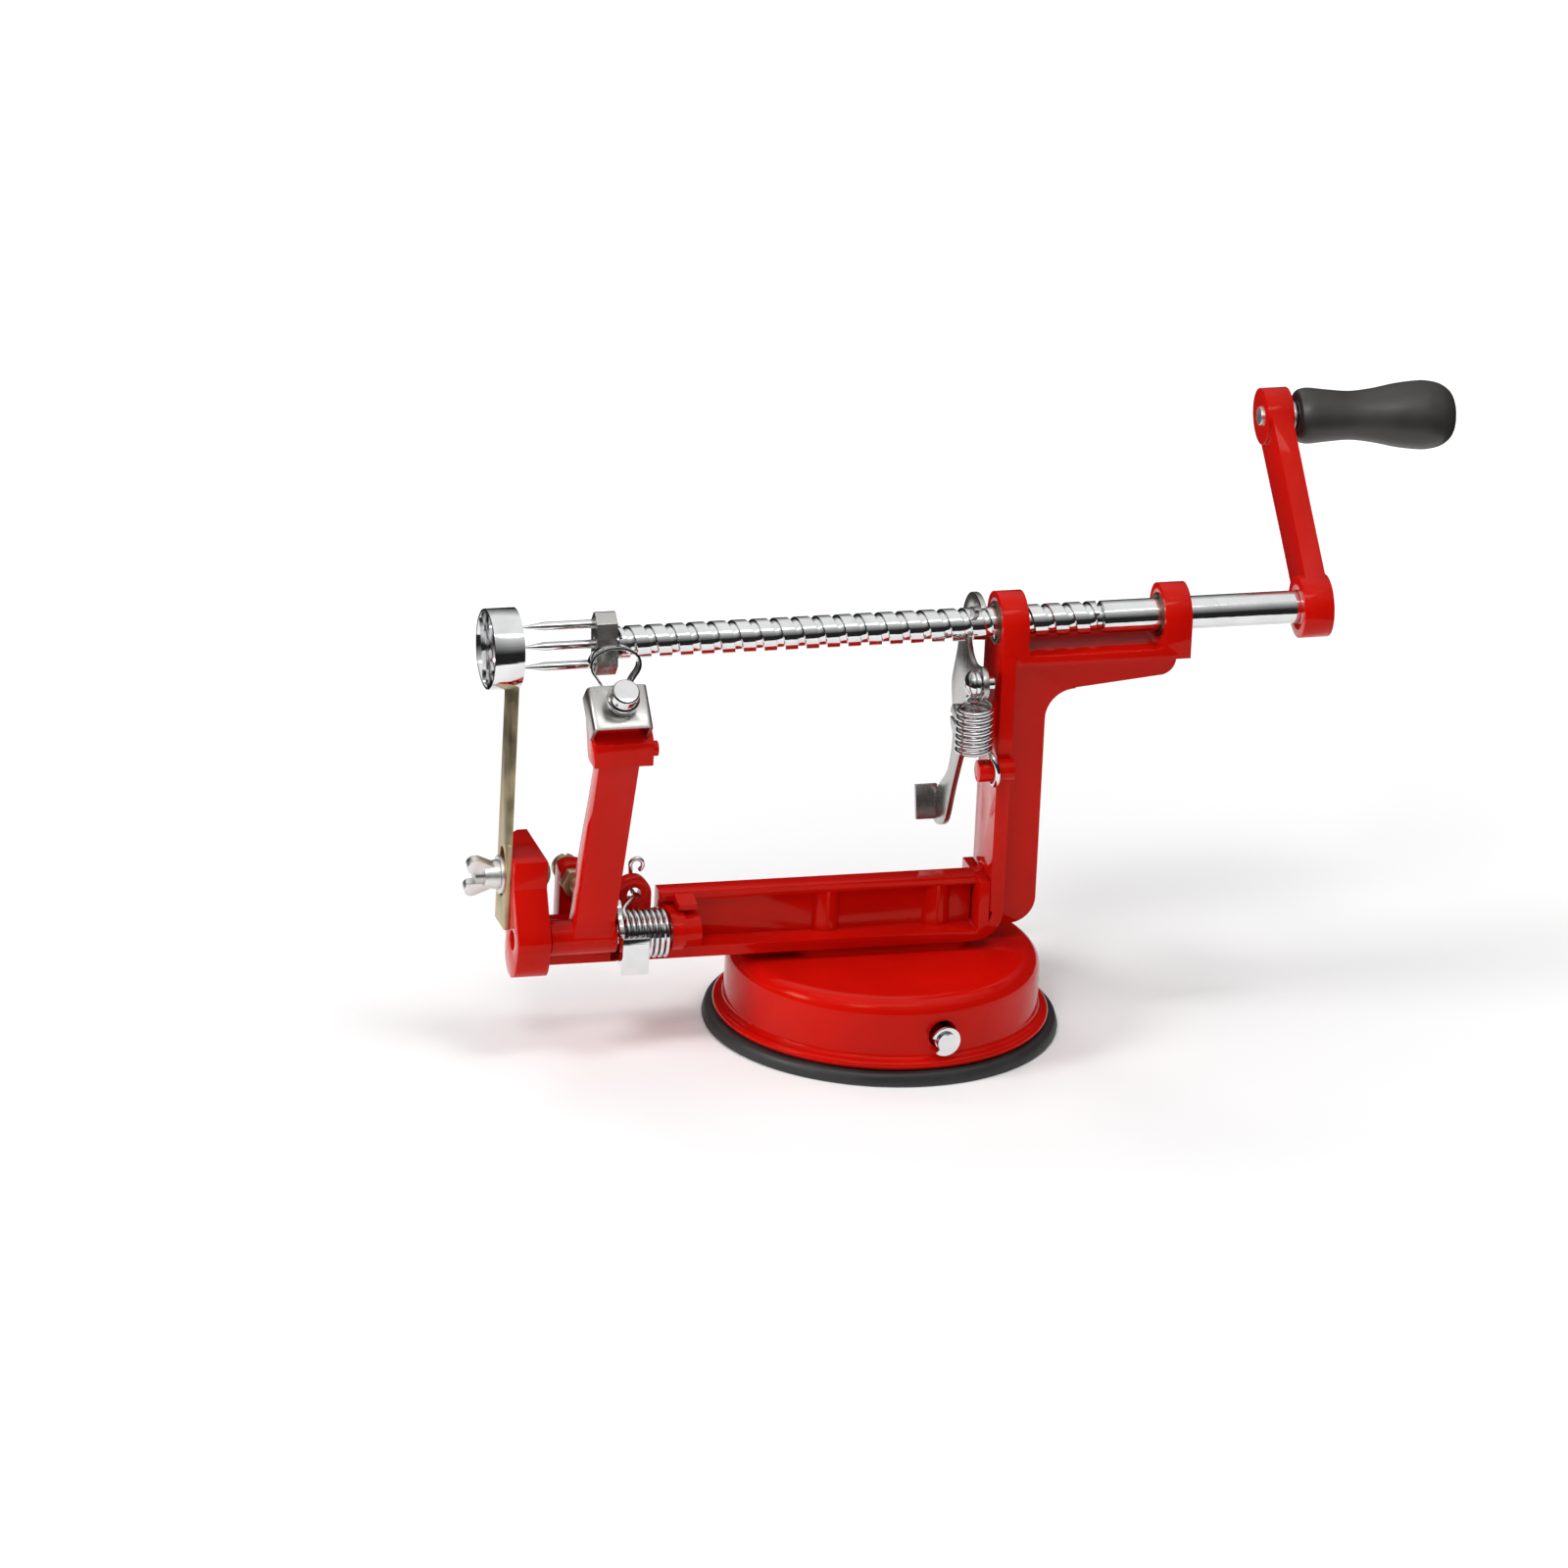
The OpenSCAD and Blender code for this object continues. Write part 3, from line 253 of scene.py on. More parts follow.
def rgba(colour, gain=1.0):
    """A colour made darker or lighter, with full alpha."""
    return (colour[0] * gain, colour[1] * gain, colour[2] * gain, 1.0)


def grey(level):
    """A neutral colour."""
    return (level, level, level, 1.0)


# Finishes


def finish_of(name, build):
    """A material whose nodes come from build(shade, where)."""
    material = bpy.data.materials.new(name)
    material.use_nodes = True
    shade = Shade(material.node_tree)
    where = shade.node("ShaderNodeTexCoord")["Object"]
    surface = build(shade, where)
    shade.node("ShaderNodeOutputMaterial", {}, {"Surface": surface})
    return material


def enamel_finish(colours):
    """Red enamel: smooth gloss, faint pooling of the colour and a slow unevenness where it flowed."""

    def build(s, where):
        pool = s.noise(where, scale=38.0, detail=2.0)
        speck = s.noise(where, scale=1500.0, detail=1.0)
        flow = s.noise(where, scale=130.0, detail=2.0)
        return s.surface(
            s.tone(pool, colours.enamel, dark=0.9, light=1.06),
            s.ramp(pool * 0.8 + speck * 0.2, NOISE_REACH, 0.08, 0.15),
            s.bump(flow, strength=0.14, depth=0.5 * MM),
            Specular_IOR_Level=0.16, Specular_Tint=(1.0, 0.6, 0.4, 1.0), Coat_Weight=0.08, Coat_Roughness=0.03,
        )

    return finish_of("red_enamel", build)


def plating_finish(colours):
    """Bright plating: near-mirror metal with faint haze and fine rub marks."""

    def build(s, where):
        haze = s.noise(where, scale=160.0, detail=3.0)
        rub = s.grain(where, scale=(180.0, 2200.0, 2200.0), detail=2.0)
        return s.surface(
            s.tone(haze, colours.plating, dark=0.93, light=1.05),
            s.ramp(haze * 0.6 + rub * 0.4, NOISE_REACH, 0.04, 0.1),
            s.bump(rub, strength=0.05),
            Metallic=1.0,
        )

    return finish_of("bright_plating", build)


def sheet_finish(colours):
    """Stamped sheet: satin metal with a rolled grain and light scuffs."""

    def build(s, where):
        rolled = s.grain(where, scale=(2600.0, 2600.0, 140.0), detail=3.0)
        scuff = s.noise(where, scale=45.0, detail=2.0)
        return s.surface(
            s.tone(scuff, colours.sheet, dark=0.92, light=1.08),
            s.ramp(rolled * 0.3 + scuff * 0.7, NOISE_REACH, 0.24, 0.34),
            s.bump(rolled, strength=0.05),
            Metallic=1.0,
        )

    return finish_of("stamped_sheet", build)


def zinc_finish(colours):
    """Bright zinc: pale satin metal with a soft cloud."""

    def build(s, where):
        cloud = s.noise(where, scale=240.0, detail=3.0)
        return s.surface(
            s.tone(cloud, colours.zinc, dark=0.92, light=1.06),
            s.ramp(cloud, NOISE_REACH, 0.3, 0.46),
            s.bump(cloud, strength=0.1),
            Metallic=1.0,
        )

    return finish_of("bright_zinc", build)


def stained_metal(name, colour):
    """Dull metal with cloudy stains and a drawn grain."""

    def build(s, where):
        cloud = s.noise(where, scale=120.0, detail=4.0)
        drawn = s.grain(where, scale=(2200.0, 2200.0, 160.0), detail=2.0)
        return s.surface(
            s.tone(cloud, colour, dark=0.8, light=1.15, reach=(0.35, 0.65)),
            s.ramp(cloud, NOISE_REACH, 0.36, 0.52),
            s.bump(drawn, strength=0.12),
            Metallic=1.0,
        )

    return finish_of(name, build)


def dull_finish(colours):
    """Dull plating, slightly yellow."""
    return stained_metal("dull_plating", colours.dull)


def bush_painted_shade_finish(colours):
    """Dark stained metal for the bushes: its darkness paints the shade inside the bores."""
    return stained_metal("bush_painted_shade_metal", colours.bush)


def rubber_finish(colours):
    """Rubber: dark and matt with a fine moulded grain and a little dust."""

    def build(s, where):
        moulded = s.noise(where, scale=1400.0, detail=3.0)
        dust = s.noise(where, scale=45.0, detail=3.0)
        return s.surface(
            s.tone(dust, colours.rubber, dark=1.0, light=2.0, reach=(0.4, 0.75)),
            s.ramp(dust, NOISE_REACH, 0.42, 0.6),
            s.bump(moulded, strength=0.2),
        )

    return finish_of("black_rubber", build)


def grip_finish(colours):
    """Moulded grip: satin black with a fine spark texture."""

    def build(s, where):
        spark = s.noise(where, scale=1900.0, detail=2.0)
        cloud = s.noise(where, scale=60.0, detail=2.0)
        return s.surface(
            s.tone(cloud, colours.grip, dark=0.8, light=1.5),
            s.ramp(cloud * 0.5 + spark * 0.5, NOISE_REACH, 0.34, 0.46),
            s.bump(spark, strength=0.16),
        )

    return finish_of("satin_grip", build)


FINISHES = {
    "enamel": enamel_finish, "chrome": plating_finish, "steel": sheet_finish, "dull_steel": dull_finish,
    "rubber": rubber_finish, "grip": grip_finish, "zinc": zinc_finish, "bush": bush_painted_shade_finish,
}
made_finishes = {}


def finish(name):
    """A finish's material, made when it is first asked for."""
    if name not in made_finishes:
        made_finishes[name] = FINISHES[name](bpy.context.scene.peeler_colours)
    return made_finishes[name]


# Surfaces from arrays

# Points closer than this are one, in metres: in a new surface, and in the loose triangles of a CAD copy
SAME_POINT = 1e-7
SAME_CAD_POINT = 2e-6
# Angles in degrees: faces of a CAD copy that count as flat, its edges that are rounded, and those left sharp
FLAT_ANGLE = 0.6
ROUND_ANGLE = 30.0
SHARP_ANGLE = 32.0


def settle(name, mesh, slot, body, nodes, angle, coat=None):
    """Cleans a mesh, keeps edges sharper than angle sharp, and puts it on its body in the place of CAD nodes."""
    made = bmesh.new()
    made.from_mesh(mesh)
    bmesh.ops.remove_doubles(made, verts=made.verts, dist=SAME_POINT)
    bmesh.ops.dissolve_degenerate(made, edges=made.edges, dist=SAME_POINT)
    bmesh.ops.recalc_face_normals(made, faces=made.faces)
    made.to_mesh(mesh)
    made.free()
    mesh.shade_smooth()
    mesh.set_sharp_from_angle(angle=math.radians(angle))
    obj = bpy.data.objects.new(name, mesh)
    bpy.context.scene.collection.objects.link(obj)
    mesh.materials.append(finish(coat or slot))
    if body:
        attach(obj, body)
    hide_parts(*nodes)
    return obj


def piece(name, surface, slot, body, nodes, angle):
    """A piece from the points and faces of a surface."""
    points, faces = surface
    mesh = bpy.data.meshes.new(name)
    mesh.from_pydata(points.tolist(), [], faces.tolist())
    return settle(name, mesh, slot, body, nodes, angle)


def dressed(node, radius, coat=None):
    """A copy of a CAD node's mesh, merged, with its sharp edges rounded to a radius."""
    made = bmesh.new()
    made.from_mesh(frame["nodes"][node].data)
    bmesh.ops.remove_doubles(made, verts=made.verts, dist=SAME_CAD_POINT)
    bmesh.ops.dissolve_limit(
        made, angle_limit=math.radians(FLAT_ANGLE), verts=made.verts, edges=made.edges,
    )
    if radius > 0:
        least = math.radians(ROUND_ANGLE)
        bmesh.ops.bevel(
            made, geom=[e for e in made.edges if e.is_manifold and e.calc_face_angle(0.0) > least],
            offset=radius, offset_type="OFFSET", segments=2, profile=0.5, affect="EDGES", clamp_overlap=True,
        )
    bmesh.ops.triangulate(made, faces=[f for f in made.faces if len(f.verts) > 4])
    mesh = bpy.data.meshes.new(node + "_dress")
    made.to_mesh(mesh)
    made.free()
    return settle(node + "_dress", mesh, SLOT_OF[node], BODY_OF[node], (node,), SHARP_ANGLE, coat)


def grid_faces(rows, columns, wrap=False):
    """Quads of a grid of points stored row by row; wrap closes each row on itself."""
    i = np.arange(rows - 1)[:, None] * columns
    j = np.arange(columns if wrap else columns - 1)[None, :]
    k = (j + 1) % columns
    return np.stack([i + j, i + k, i + columns + k, i + columns + j], -1).reshape(-1, 4)


def spun(profile, steps):
    """A profile of (along, radius) carried round the X axis, where its ends lie: y = r cos a, z = r sin a."""
    profile = np.asarray(profile, float)
    a = np.arange(steps) * FULL_TURN / steps
    along = np.repeat(profile[:, :1], steps, 1)
    points = np.stack([along, profile[:, 1:] * np.cos(a), profile[:, 1:] * np.sin(a)], -1).reshape(-1, 3)
    return points, grid_faces(len(profile), steps, True)


def joined(*shells):
    """Several shells of points and faces as one: the faces of each count on from the points before it."""
    points, faces, base = [], [], 0
    for p, f in shells:
        points.append(p)
        faces.append(f + base)
        base += len(p)
    return np.concatenate(points), np.concatenate(faces)


def smooth_line(points, count):
    """A smooth curve through points: each span is a cubic set by its four nearest points, in count steps."""
    p = np.asarray(points, float)
    q = np.concatenate([2 * p[:1] - p[1:2], p, 2 * p[-1:] - p[-2:-1]])
    t = (np.arange(count) / count)[None, :, None]
    a, b, c, d = (q[k:len(q) - 3 + k, None, :] for k in range(4))
    square = 2 * a - 5 * b + 4 * c - d
    cube = 3 * b - a - 3 * c + d
    line = 0.5 * (2 * b + (c - a) * t + square * t ** 2 + cube * t ** 3)
    return np.concatenate([line.reshape(-1, p.shape[1]), p[-1:]])


def bend(start, start_pull, end_pull, end, count=14):
    """A cubic from start to end that leaves and arrives along its two pulls, without its end points."""
    u = np.linspace(0, 1, count)[1:-1, None]
    v = 1 - u
    return v ** 3 * start + 3 * v ** 2 * u * start_pull + 3 * v * u * u * end_pull + u ** 3 * end


def arc(x, y, z, radius, start, stop, count=22):
    """Part of a circle that faces along X, from one angle to another in degrees: y + r cos a, z + r sin a."""
    a = np.radians(np.linspace(start, stop, count))
    return np.stack([np.full(count, x), y + radius * np.cos(a), z + radius * np.sin(a)], 1)


def swept(path, radius, sides=14):
    """A round wire along a path: each ring stands square to the path, its start turned to one slanting direction
    that the path never takes, and the ends close in low domes."""
    p = np.asarray(path, float)
    t = np.gradient(p, axis=0)
    t /= np.linalg.norm(t, axis=1)[:, None]
    aside = np.full(3, 1 / math.sqrt(3))
    n = aside - t * (t @ aside)[:, None]
    n /= np.linalg.norm(n, axis=1)[:, None]
    b = np.cross(t, n)
    a = np.arange(sides) * FULL_TURN / sides
    dome = np.radians([90, 60, 30, 0])
    dome_height = 0.6 * radius
    middle = len(p) - 2
    size = np.concatenate([np.cos(dome), np.ones(middle), np.cos(dome[::-1])]) * radius
    shift = np.concatenate([-np.sin(dome), np.zeros(middle), np.sin(dome[::-1])]) * dome_height
    pick = np.concatenate([np.zeros(4, int), np.arange(1, len(p) - 1), np.full(4, len(p) - 1)])
    ring = np.cos(a)[None, :, None] * n[pick][:, None, :] + np.sin(a)[None, :, None] * b[pick][:, None, :]
    points = p[pick][:, None, :] + t[pick][:, None, :] * shift[:, None, None] + ring * size[:, None, None]
    return points.reshape(-1, 3), grid_faces(len(pick), sides, True)


# Castings and metal pieces

# Share of the casting round that each casting's edges get
CASTINGS = {"frame_casting": 1.0, "base_cap": 0.7, "peel_arm": 1.0, "crank_arm": 1.0, "suction_lever": 1.0}

SHEET_NODES = (
    "release_lever", "blade_holder", "arm_latch", "fork_hub", "slicing_blade", "wing_nut", "blade_washer",
    "blade_bolt", "stop_nut", "stop_screw", "lever_pivot_screw", "spring_screw", "frame_screws", "pivot_rod",
    "front_bush", "rear_bush", "coring_ring", "peel_blade", "fork_prongs", "grip_pin", "cam_shaft",
    "retaining_clip", "pull_post", "peel_thumb_screw",
)
# Edges that are rounder or finer than the sheet round, as a share of it
SHEET_SHARE = {"fork_hub": 2.2, "wing_nut": 2.4, "coring_ring": 0.4, "peel_blade": 0.4, "slicing_blade": 0.5}
# Finishes that differ from the one of the node's material slot
SHEET_COAT = {
    # The bushes take a dark finish that paints the shade inside their bores
    "wing_nut": "zinc", "blade_washer": "zinc", "grip_pin": "zinc", "front_bush": "bush", "rear_bush": "bush",
    "arm_latch": "chrome", "peel_thumb_screw": "chrome",
}


class PEELER_OT_castings(bpy.types.Operator):
    """Red castings with rounded edges"""

    bl_idname = "peeler.castings"
    bl_label = "Castings"

    def execute(self, context):
        for node, share in CASTINGS.items():
            dressed(node, context.scene.peeler_sizes.casting_round * share)
        return {"FINISHED"}


class PEELER_OT_sheet_metal(bpy.types.Operator):
    """Stamped and machined pieces with broken edges"""

    bl_idname = "peeler.sheet_metal"
    bl_label = "Sheet metal"

    def execute(self, context):
        for node in SHEET_NODES:
            radius = context.scene.peeler_sizes.sheet_round * SHEET_SHARE.get(node, 1.0)
            dressed(node, radius, SHEET_COAT.get(node))
        return {"FINISHED"}


# Shaft

GROOVE_START_X = -0.086
GROOVE_TURNS = 23
# A place along the plain part, and the shaft's end in the crank's hub
PLAIN_X = 0.1
SHAFT_END_X = 0.13


def groove_outline(width, depth, pitch):
    """One pitch of the shaft's outline, as (distance from the groove's middle, depth below the crest): down one
    wall, across the floor, up the other wall and along the crest, with the edges broken."""
    half = width / 2
    land = pitch - width
    broken = 0.12 * MM
    wall = np.array([
        [half + broken, 0], [half + broken * 0.3, 0.09 * MM], [half, 0.25 * MM],
        [half - 0.1 * MM, depth - 0.1 * MM], [half - 0.3 * MM, depth],
    ])
    crest = [[half + land * 0.35, 0], [half + land * 0.65, 0]]
    return np.concatenate([wall * [-1, 1], [[0, depth]], wall[::-1], crest])


def grooved(outline, crest, pitch, columns=72):
    """A grooved rod on the X axis: each point of the outline moves one pitch along x over a full turn, with
    y = r cos a and z = r sin a. The outline repeats every pitch, with a groove's middle at the lever's tooth, and
    what runs past an end is held there and drawn in to the axis."""
    rows = len(outline)
    spare = 2
    drawn_in = 40
    start, end = GROOVE_START_X, GROOVE_START_X + GROOVE_TURNS * pitch
    cells = GROOVE_TURNS + 2 * spare
    middle = TOOTH_X + pitch * (np.arange(cells) - round((TOOTH_X - start) / pitch) - spare)
    offset = (middle[:, None] + outline[None, :, 0]).reshape(-1)
    radius = np.tile(crest - outline[:, 1], cells)[:, None]
    share = np.arange(columns)[None, :] / columns
    x = offset[:, None] + pitch * share
    past = np.maximum(np.maximum(start - x, x - end), 0.0)
    r = np.where(past > 0, np.maximum(radius - past * drawn_in, 0.0), radius)
    a = FULL_TURN * share
    points = np.stack([np.clip(x, start, end), r * np.cos(a), r * np.sin(a)], -1).reshape(-1, 3)

    def index(row, column):
        """A point's number; past its last column, a row goes on in the row that lies one pitch further."""
        further = (row + rows) * columns + column - columns
        return np.where(column < columns, row * columns + column, further)

    i = np.arange(len(offset) - rows - 1)[:, None]
    j = np.arange(columns)[None, :]
    faces = np.stack([index(i, j), index(i, j + 1), index(i + 1, j + 1), index(i + 1, j)], -1)
    return points, faces.reshape(-1, 4)


class PEELER_OT_shaft(bpy.types.Operator):
    """Shaft with its square helical groove"""

    bl_idname = "peeler.shaft"
    bl_label = "Shaft"

    def execute(self, context):
        sizes = context.scene.peeler_sizes
        low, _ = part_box("lead_screw")
        crest, depth, pitch = sizes.shaft_radius, sizes.groove_depth, sizes.groove_pitch
        grooves = grooved(groove_outline(sizes.groove_width, depth, pitch), crest, pitch)

        # Plain part: a profile with a neck inside the last groove, a step up to the crest and a chamfered end
        end = GROOVE_START_X + GROOVE_TURNS * pitch
        neck = crest - depth - 0.3 * MM
        chamfer = 0.5 * MM
        plain = spun([
            (end - 0.8 * MM, 0), (end - 0.8 * MM, neck), (end + 1.0 * MM, neck), (end + 1.2 * MM, crest - depth),
            (end + 1.2 * MM, crest - 0.3 * MM), (end + 1.5 * MM, crest), (PLAIN_X, crest),
            (SHAFT_END_X - chamfer, crest), (SHAFT_END_X, crest - chamfer), (SHAFT_END_X, 0),
        ], 96)

        # Spigot in the fork's hub: a thinner rod with a broken edge
        root_x, radius, broken = GROOVE_START_X + 0.5 * MM, 3 * MM, 0.3 * MM
        spigot = spun([
            (low[0], 0), (low[0], radius - broken), (low[0] + broken, radius), (root_x, radius), (root_x, 0),
        ], 48)

        points, faces = joined(grooves, plain, spigot)
        lift = np.array([0, 0, SHAFT_Z])
        piece("shaft", (points + lift, faces), "chrome", "drive", ("lead_screw",), 28.0)
        return {"FINISHED"}


# Springs

COIL_STEPS = 24


def arm_spring_path():
    """Middle line of the torsion spring: a short straight tail, a coil round the pivot rod whose x moves evenly
    while its angle falls, a smooth lead to the lug, and a hook that is part of a circle over the lug's hole."""
    coils, coil_r = 8, 6.8 * MM
    first_x, last_x = -70.0 * MM, -82.5 * MM
    share = np.linspace(0, 1, COIL_STEPS * coils)
    a = np.radians(270 - share * (360 * (coils - 1) + 158))
    x = first_x + share * (last_x - first_x)
    coil = np.stack([x, ROD_Y + coil_r * np.cos(a), ROD_Z + coil_r * np.sin(a)], 1)
    tail = coil[0] + np.array([[0, 2.8, 0], [0, 2.1, 0], [0, 1.4, 0], [0, 0.7, 0]]) * MM

    # From here in millimetres
    hole_x, hole_y, hole_z = -77.3, 3.3, 45.2
    hook_r, hook_steps = 1.9, 16
    turn = np.radians(np.linspace(175, -60, hook_steps))
    hook_x, hook_z = hole_x + 1.7, hole_z + 7.2
    hook = np.stack([
        hook_x + hook_r * np.cos(turn), np.full(hook_steps, hole_y), hook_z + hook_r * np.sin(turn),
    ], 1) * MM
    through = np.array([
        [-79.2, -5.4, 45.0], [hole_x, -2.4, hole_z], [hole_x, 0.2, hole_z], [hole_x, 2.4, hole_z + 0.05],
        [hole_x, hole_y, hole_z + 1.0], [hole_x, hole_y, hole_z + 4.4],
    ]) * MM
    leaving = coil[-1:] + np.array([0.15, 3.2, 1.25]) * MM
    lead = smooth_line(np.concatenate([coil[-1:], leaving, through, hook[:1]]), 6)[1:-1]
    return np.concatenate([tail, coil, lead, hook])


def release_spring_path():
    """Middle line of the extension spring: a loop on the lever's screw, a coil round an upright axis whose height
    falls evenly with its angle, and a hook on the stud beside the column, with a cubic between each two."""
    # In millimetres
    axis_x, axis_y, top_z = 21.2, -12, 103.2
    turns, step, coil_r = 7.25, 2.05, 4.8
    degrees = np.linspace(0, 360 * turns, int(COIL_STEPS * turns))
    a = np.radians(degrees)
    coil = np.stack([axis_x + coil_r * np.sin(a), axis_y + coil_r * np.cos(a), top_z - step * degrees / 360], 1)
    loop = arc(axis_x, -11.5, 110, 3.05, -10, 250)
    hook = arc(27.7, axis_y, 82.5, 4.3, 180, 400)
    first = bend(loop[-1], loop[-1] + [0, 3.6, -1.3], coil[0] - [2.6, 0, -0.2], coil[0])
    last = bend(coil[-1], coil[-1] - [0, 3.4, 0.3], hook[0] + [0, 0, 3.6], hook[0])
    return np.concatenate([loop, first, coil, last, hook]) * MM


class PEELER_OT_springs(bpy.types.Operator):
    """Torsion spring of the arm and extension spring of the release lever"""

    bl_idname = "peeler.springs"
    bl_label = "Springs"

    def execute(self, context):
        arm_wire, release_wire = 0.68 * MM, 0.86 * MM
        wire = swept(arm_spring_path(), arm_wire)
        piece("arm_spring_wire", wire, "chrome", "frame", ("arm_spring",), 60.0)
        wire = swept(release_spring_path(), release_wire)
        spring = piece("release_spring_wire", wire, "chrome", None, ("release_spring",), 60.0)
        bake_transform(spring)
        return {"FINISHED"}


# Grip and suction disc, their outlines as (along, radius) in millimetres

GRIP_OUTLINE = (
    (0, 3.2), (0, 5.6), (0.35, 7.0), (1.3, 7.9), (4, 8.35), (10, 7.75), (17, 7.3), (24, 8.1), (31, 9.5),
    (37, 10.2), (40.5, 10.25), (44.6, 9.4), (47.6, 7.3), (48.8, 4.4), (49, 0),
)
GRIP_BORE = ((41, 0), (41, 2.88), (0.4, 2.88), (0, 3.2))
GRIP_GAP = 6.4 * MM
GRIP_DROOP = math.radians(2.5)

# From the middle of the top over the lip to the middle of the dished underside
DISC_OUTLINE = (
    (2.9, 0), (2.9, 17.2), (3.95, 17.4), (3.95, 49.0), (3.95, 50.9), (3.8, 51.6), (3.2, 52.1), (2.2, 52.4),
    (1.2, 52.7), (0.5, 52.6), (0.1, 52.2), (0.0, 51.4), (0.0, 47.5), (0.25, 46.6), (0.55, 45), (0.55, 42),
    (0.25, 41.2), (0.5, 40), (0.9, 25), (1.1, 0),
)


class PEELER_OT_grip(bpy.types.Operator):
    """Turning grip with a waist and a full end"""

    bl_idname = "peeler.grip"
    bl_label = "Grip"

    def execute(self, context):
        # A smooth outline and its bore spun round X, drooped about Y and set at the crank's end
        line = smooth_line(np.array(GRIP_OUTLINE), 5) * MM
        line[:, 1] = np.maximum(line[:, 1], 0)
        points, faces = spun(np.concatenate([np.array(GRIP_BORE) * MM, line]), 96)
        points[:, 0] += GRIP_GAP
        c, s = math.cos(GRIP_DROOP), math.sin(GRIP_DROOP)
        turn = np.array([[c, 0, s], [0, 1, 0], [-s, 0, c]])
        reach = CRANK_LENGTH * math.sin(CRANK_LEAN), CRANK_LENGTH * math.cos(CRANK_LEAN)
        place = np.array([CRANK_FACE_X, reach[0], SHAFT_Z + reach[1]])
        piece("grip_body", (points @ turn.T + place, faces), "grip", "grip", ("handle_grip",), 40.0)
        return {"FINISHED"}


class PEELER_OT_suction_disc(bpy.types.Operator):
    """Rubber disc with a rounded lip and a dished underside"""

    bl_idname = "peeler.suction_disc"
    bl_label = "Suction disc"

    def execute(self, context):
        points, faces = spun(np.array(DISC_OUTLINE) * MM, 128)
        # The spin axis X becomes the upright Z
        points = points[:, [1, 2, 0]]
        piece("suction_disc", (points, faces), "rubber", "frame", ("suction_cup",), 40.0)
        return {"FINISHED"}


# Stage

FLOOR_HALF = 6.0
# Distances from the object over which the floor's own glow rises; the dim glow beside the object paints shade on
# the floor round it
PAINTED_SHADE_REACH = (0.1, 0.45)
# Painted reflection: a ring that glows from dark grey at its foot to pale grey at its top and that only gloss
# shows; its radius, lower and upper edge, and the heights over which it pales
REFLECTION_RING_RADIUS, REFLECTION_RING_LOW, REFLECTION_RING_HIGH = 0.3, 0.001, 0.5
REFLECTION_RING_REACH = (0.16, 0.48)
PAINTED_REFLECTION_GREYS = (0.02, 0.9)
# Painted highlight: a strip that glows bright white and that only gloss shows; half its length, then (y, z) of
# its two long edges
STRIP_HALF, STRIP_NEAR, STRIP_FAR = 1.5, (-0.77, 1.02), (-0.56, 1.16)
PAINTED_HIGHLIGHT_STRENGTH = 5.0
AMBIENT = 0.38
# Name, place, target, width in metres, power in watts and whether gloss shows it
LAMPS = (
    ("key", (-1.65, -0.2, 1.0), (0, 0, 0.06), 0.5, 18.0, True),
    ("front", (-0.8, -1.25, 1.6), (0, 0, 0.08), 0.5, 9.0, True),
    ("top", (0.45, -0.32, 1.75), (0, 0, 0.1), 0.55, 9.0, False),
    ("back", (-0.5, 1.5, 1.5), (0, 0, 0.1), 0.7, 4.0, True),
)
# Camera: angles, distance, and the photograph's scale and pixel under the middle of the base
AZIMUTH, TILT, ROLL = math.radians(-15.7), math.radians(21.7), math.radians(2.8)
DISTANCE = 6.0
SENSOR_MM = 36.0
IMAGE_PX = 1600
PX_PER_MM = 3.45
BASE_PX = (897, 1040)


def stage_object(name, data):
    """A new object in the scene's own collection."""
    obj = bpy.data.objects.new(name, data)
    bpy.context.scene.collection.objects.link(obj)
    return obj


def stage_sheet(name, points, faces, material):
    """A plain mesh of the stage."""
    mesh = bpy.data.meshes.new(name)
    mesh.from_pydata(points, [], faces)
    mesh.materials.append(material)
    return stage_object(name, mesh)


def floor_paint():
    """Pale paper that glows a little to what sees it, least beside the object, so that the shadow stays and the
    floor round the object is painted darker, as painted shade.
    """

    def build(s, where):
        away = s.node("ShaderNodeVectorMath", {"operation": "LENGTH"}, {0: where})["Value"]
        # Painted shade: the glow sinks to a dim grey beside the object, so the floor there is darker
        glow = s.mix(s.ramp(away, PAINTED_SHADE_REACH, 0.0, 1.0), grey(0.05), WHITE)
        inputs = {
            "Base Color": grey(0.95), "Roughness": 0.6,
            "Emission Color": s.mix(s.seen(), BLACK, glow), "Emission Strength": 0.3,
        }
        return s.node("ShaderNodeBsdfPrincipled", {}, inputs)["BSDF"]

    return finish_of("floor_paint", build)


def painted_reflection_paint():
    """Painted reflection: a glow from dark grey to pale with height."""

    def build(s, where):
        height = s.node("ShaderNodeSeparateXYZ", {}, {"Vector": where})["Z"]
        # Painted reflection: dark grey at the foot, pale grey at the top
        colour = s.mix(s.ramp(height, REFLECTION_RING_REACH, 0.0, 1.0), grey(PAINTED_REFLECTION_GREYS[0]), grey(PAINTED_REFLECTION_GREYS[1]))
        return s.node("ShaderNodeEmission", {}, {"Color": colour, "Strength": 1.0})["Emission"]

    return finish_of("painted_reflection_glow", build)


def painted_highlight_paint():
    """Painted highlight: an even bright white glow."""

    def build(s, where):
        return s.node("ShaderNodeEmission", {}, {"Color": WHITE, "Strength": PAINTED_HIGHLIGHT_STRENGTH})["Emission"]

    return finish_of("painted_highlight_glow", build)


def painted_light_sheet(name, points, faces, material):
    """A glowing sheet of the stage that only gloss shows, for painted reflections and painted highlights."""
    obj = stage_sheet(name, points, faces, material)
    obj.visible_camera = obj.visible_diffuse = obj.visible_shadow = obj.visible_transmission = False
    return obj


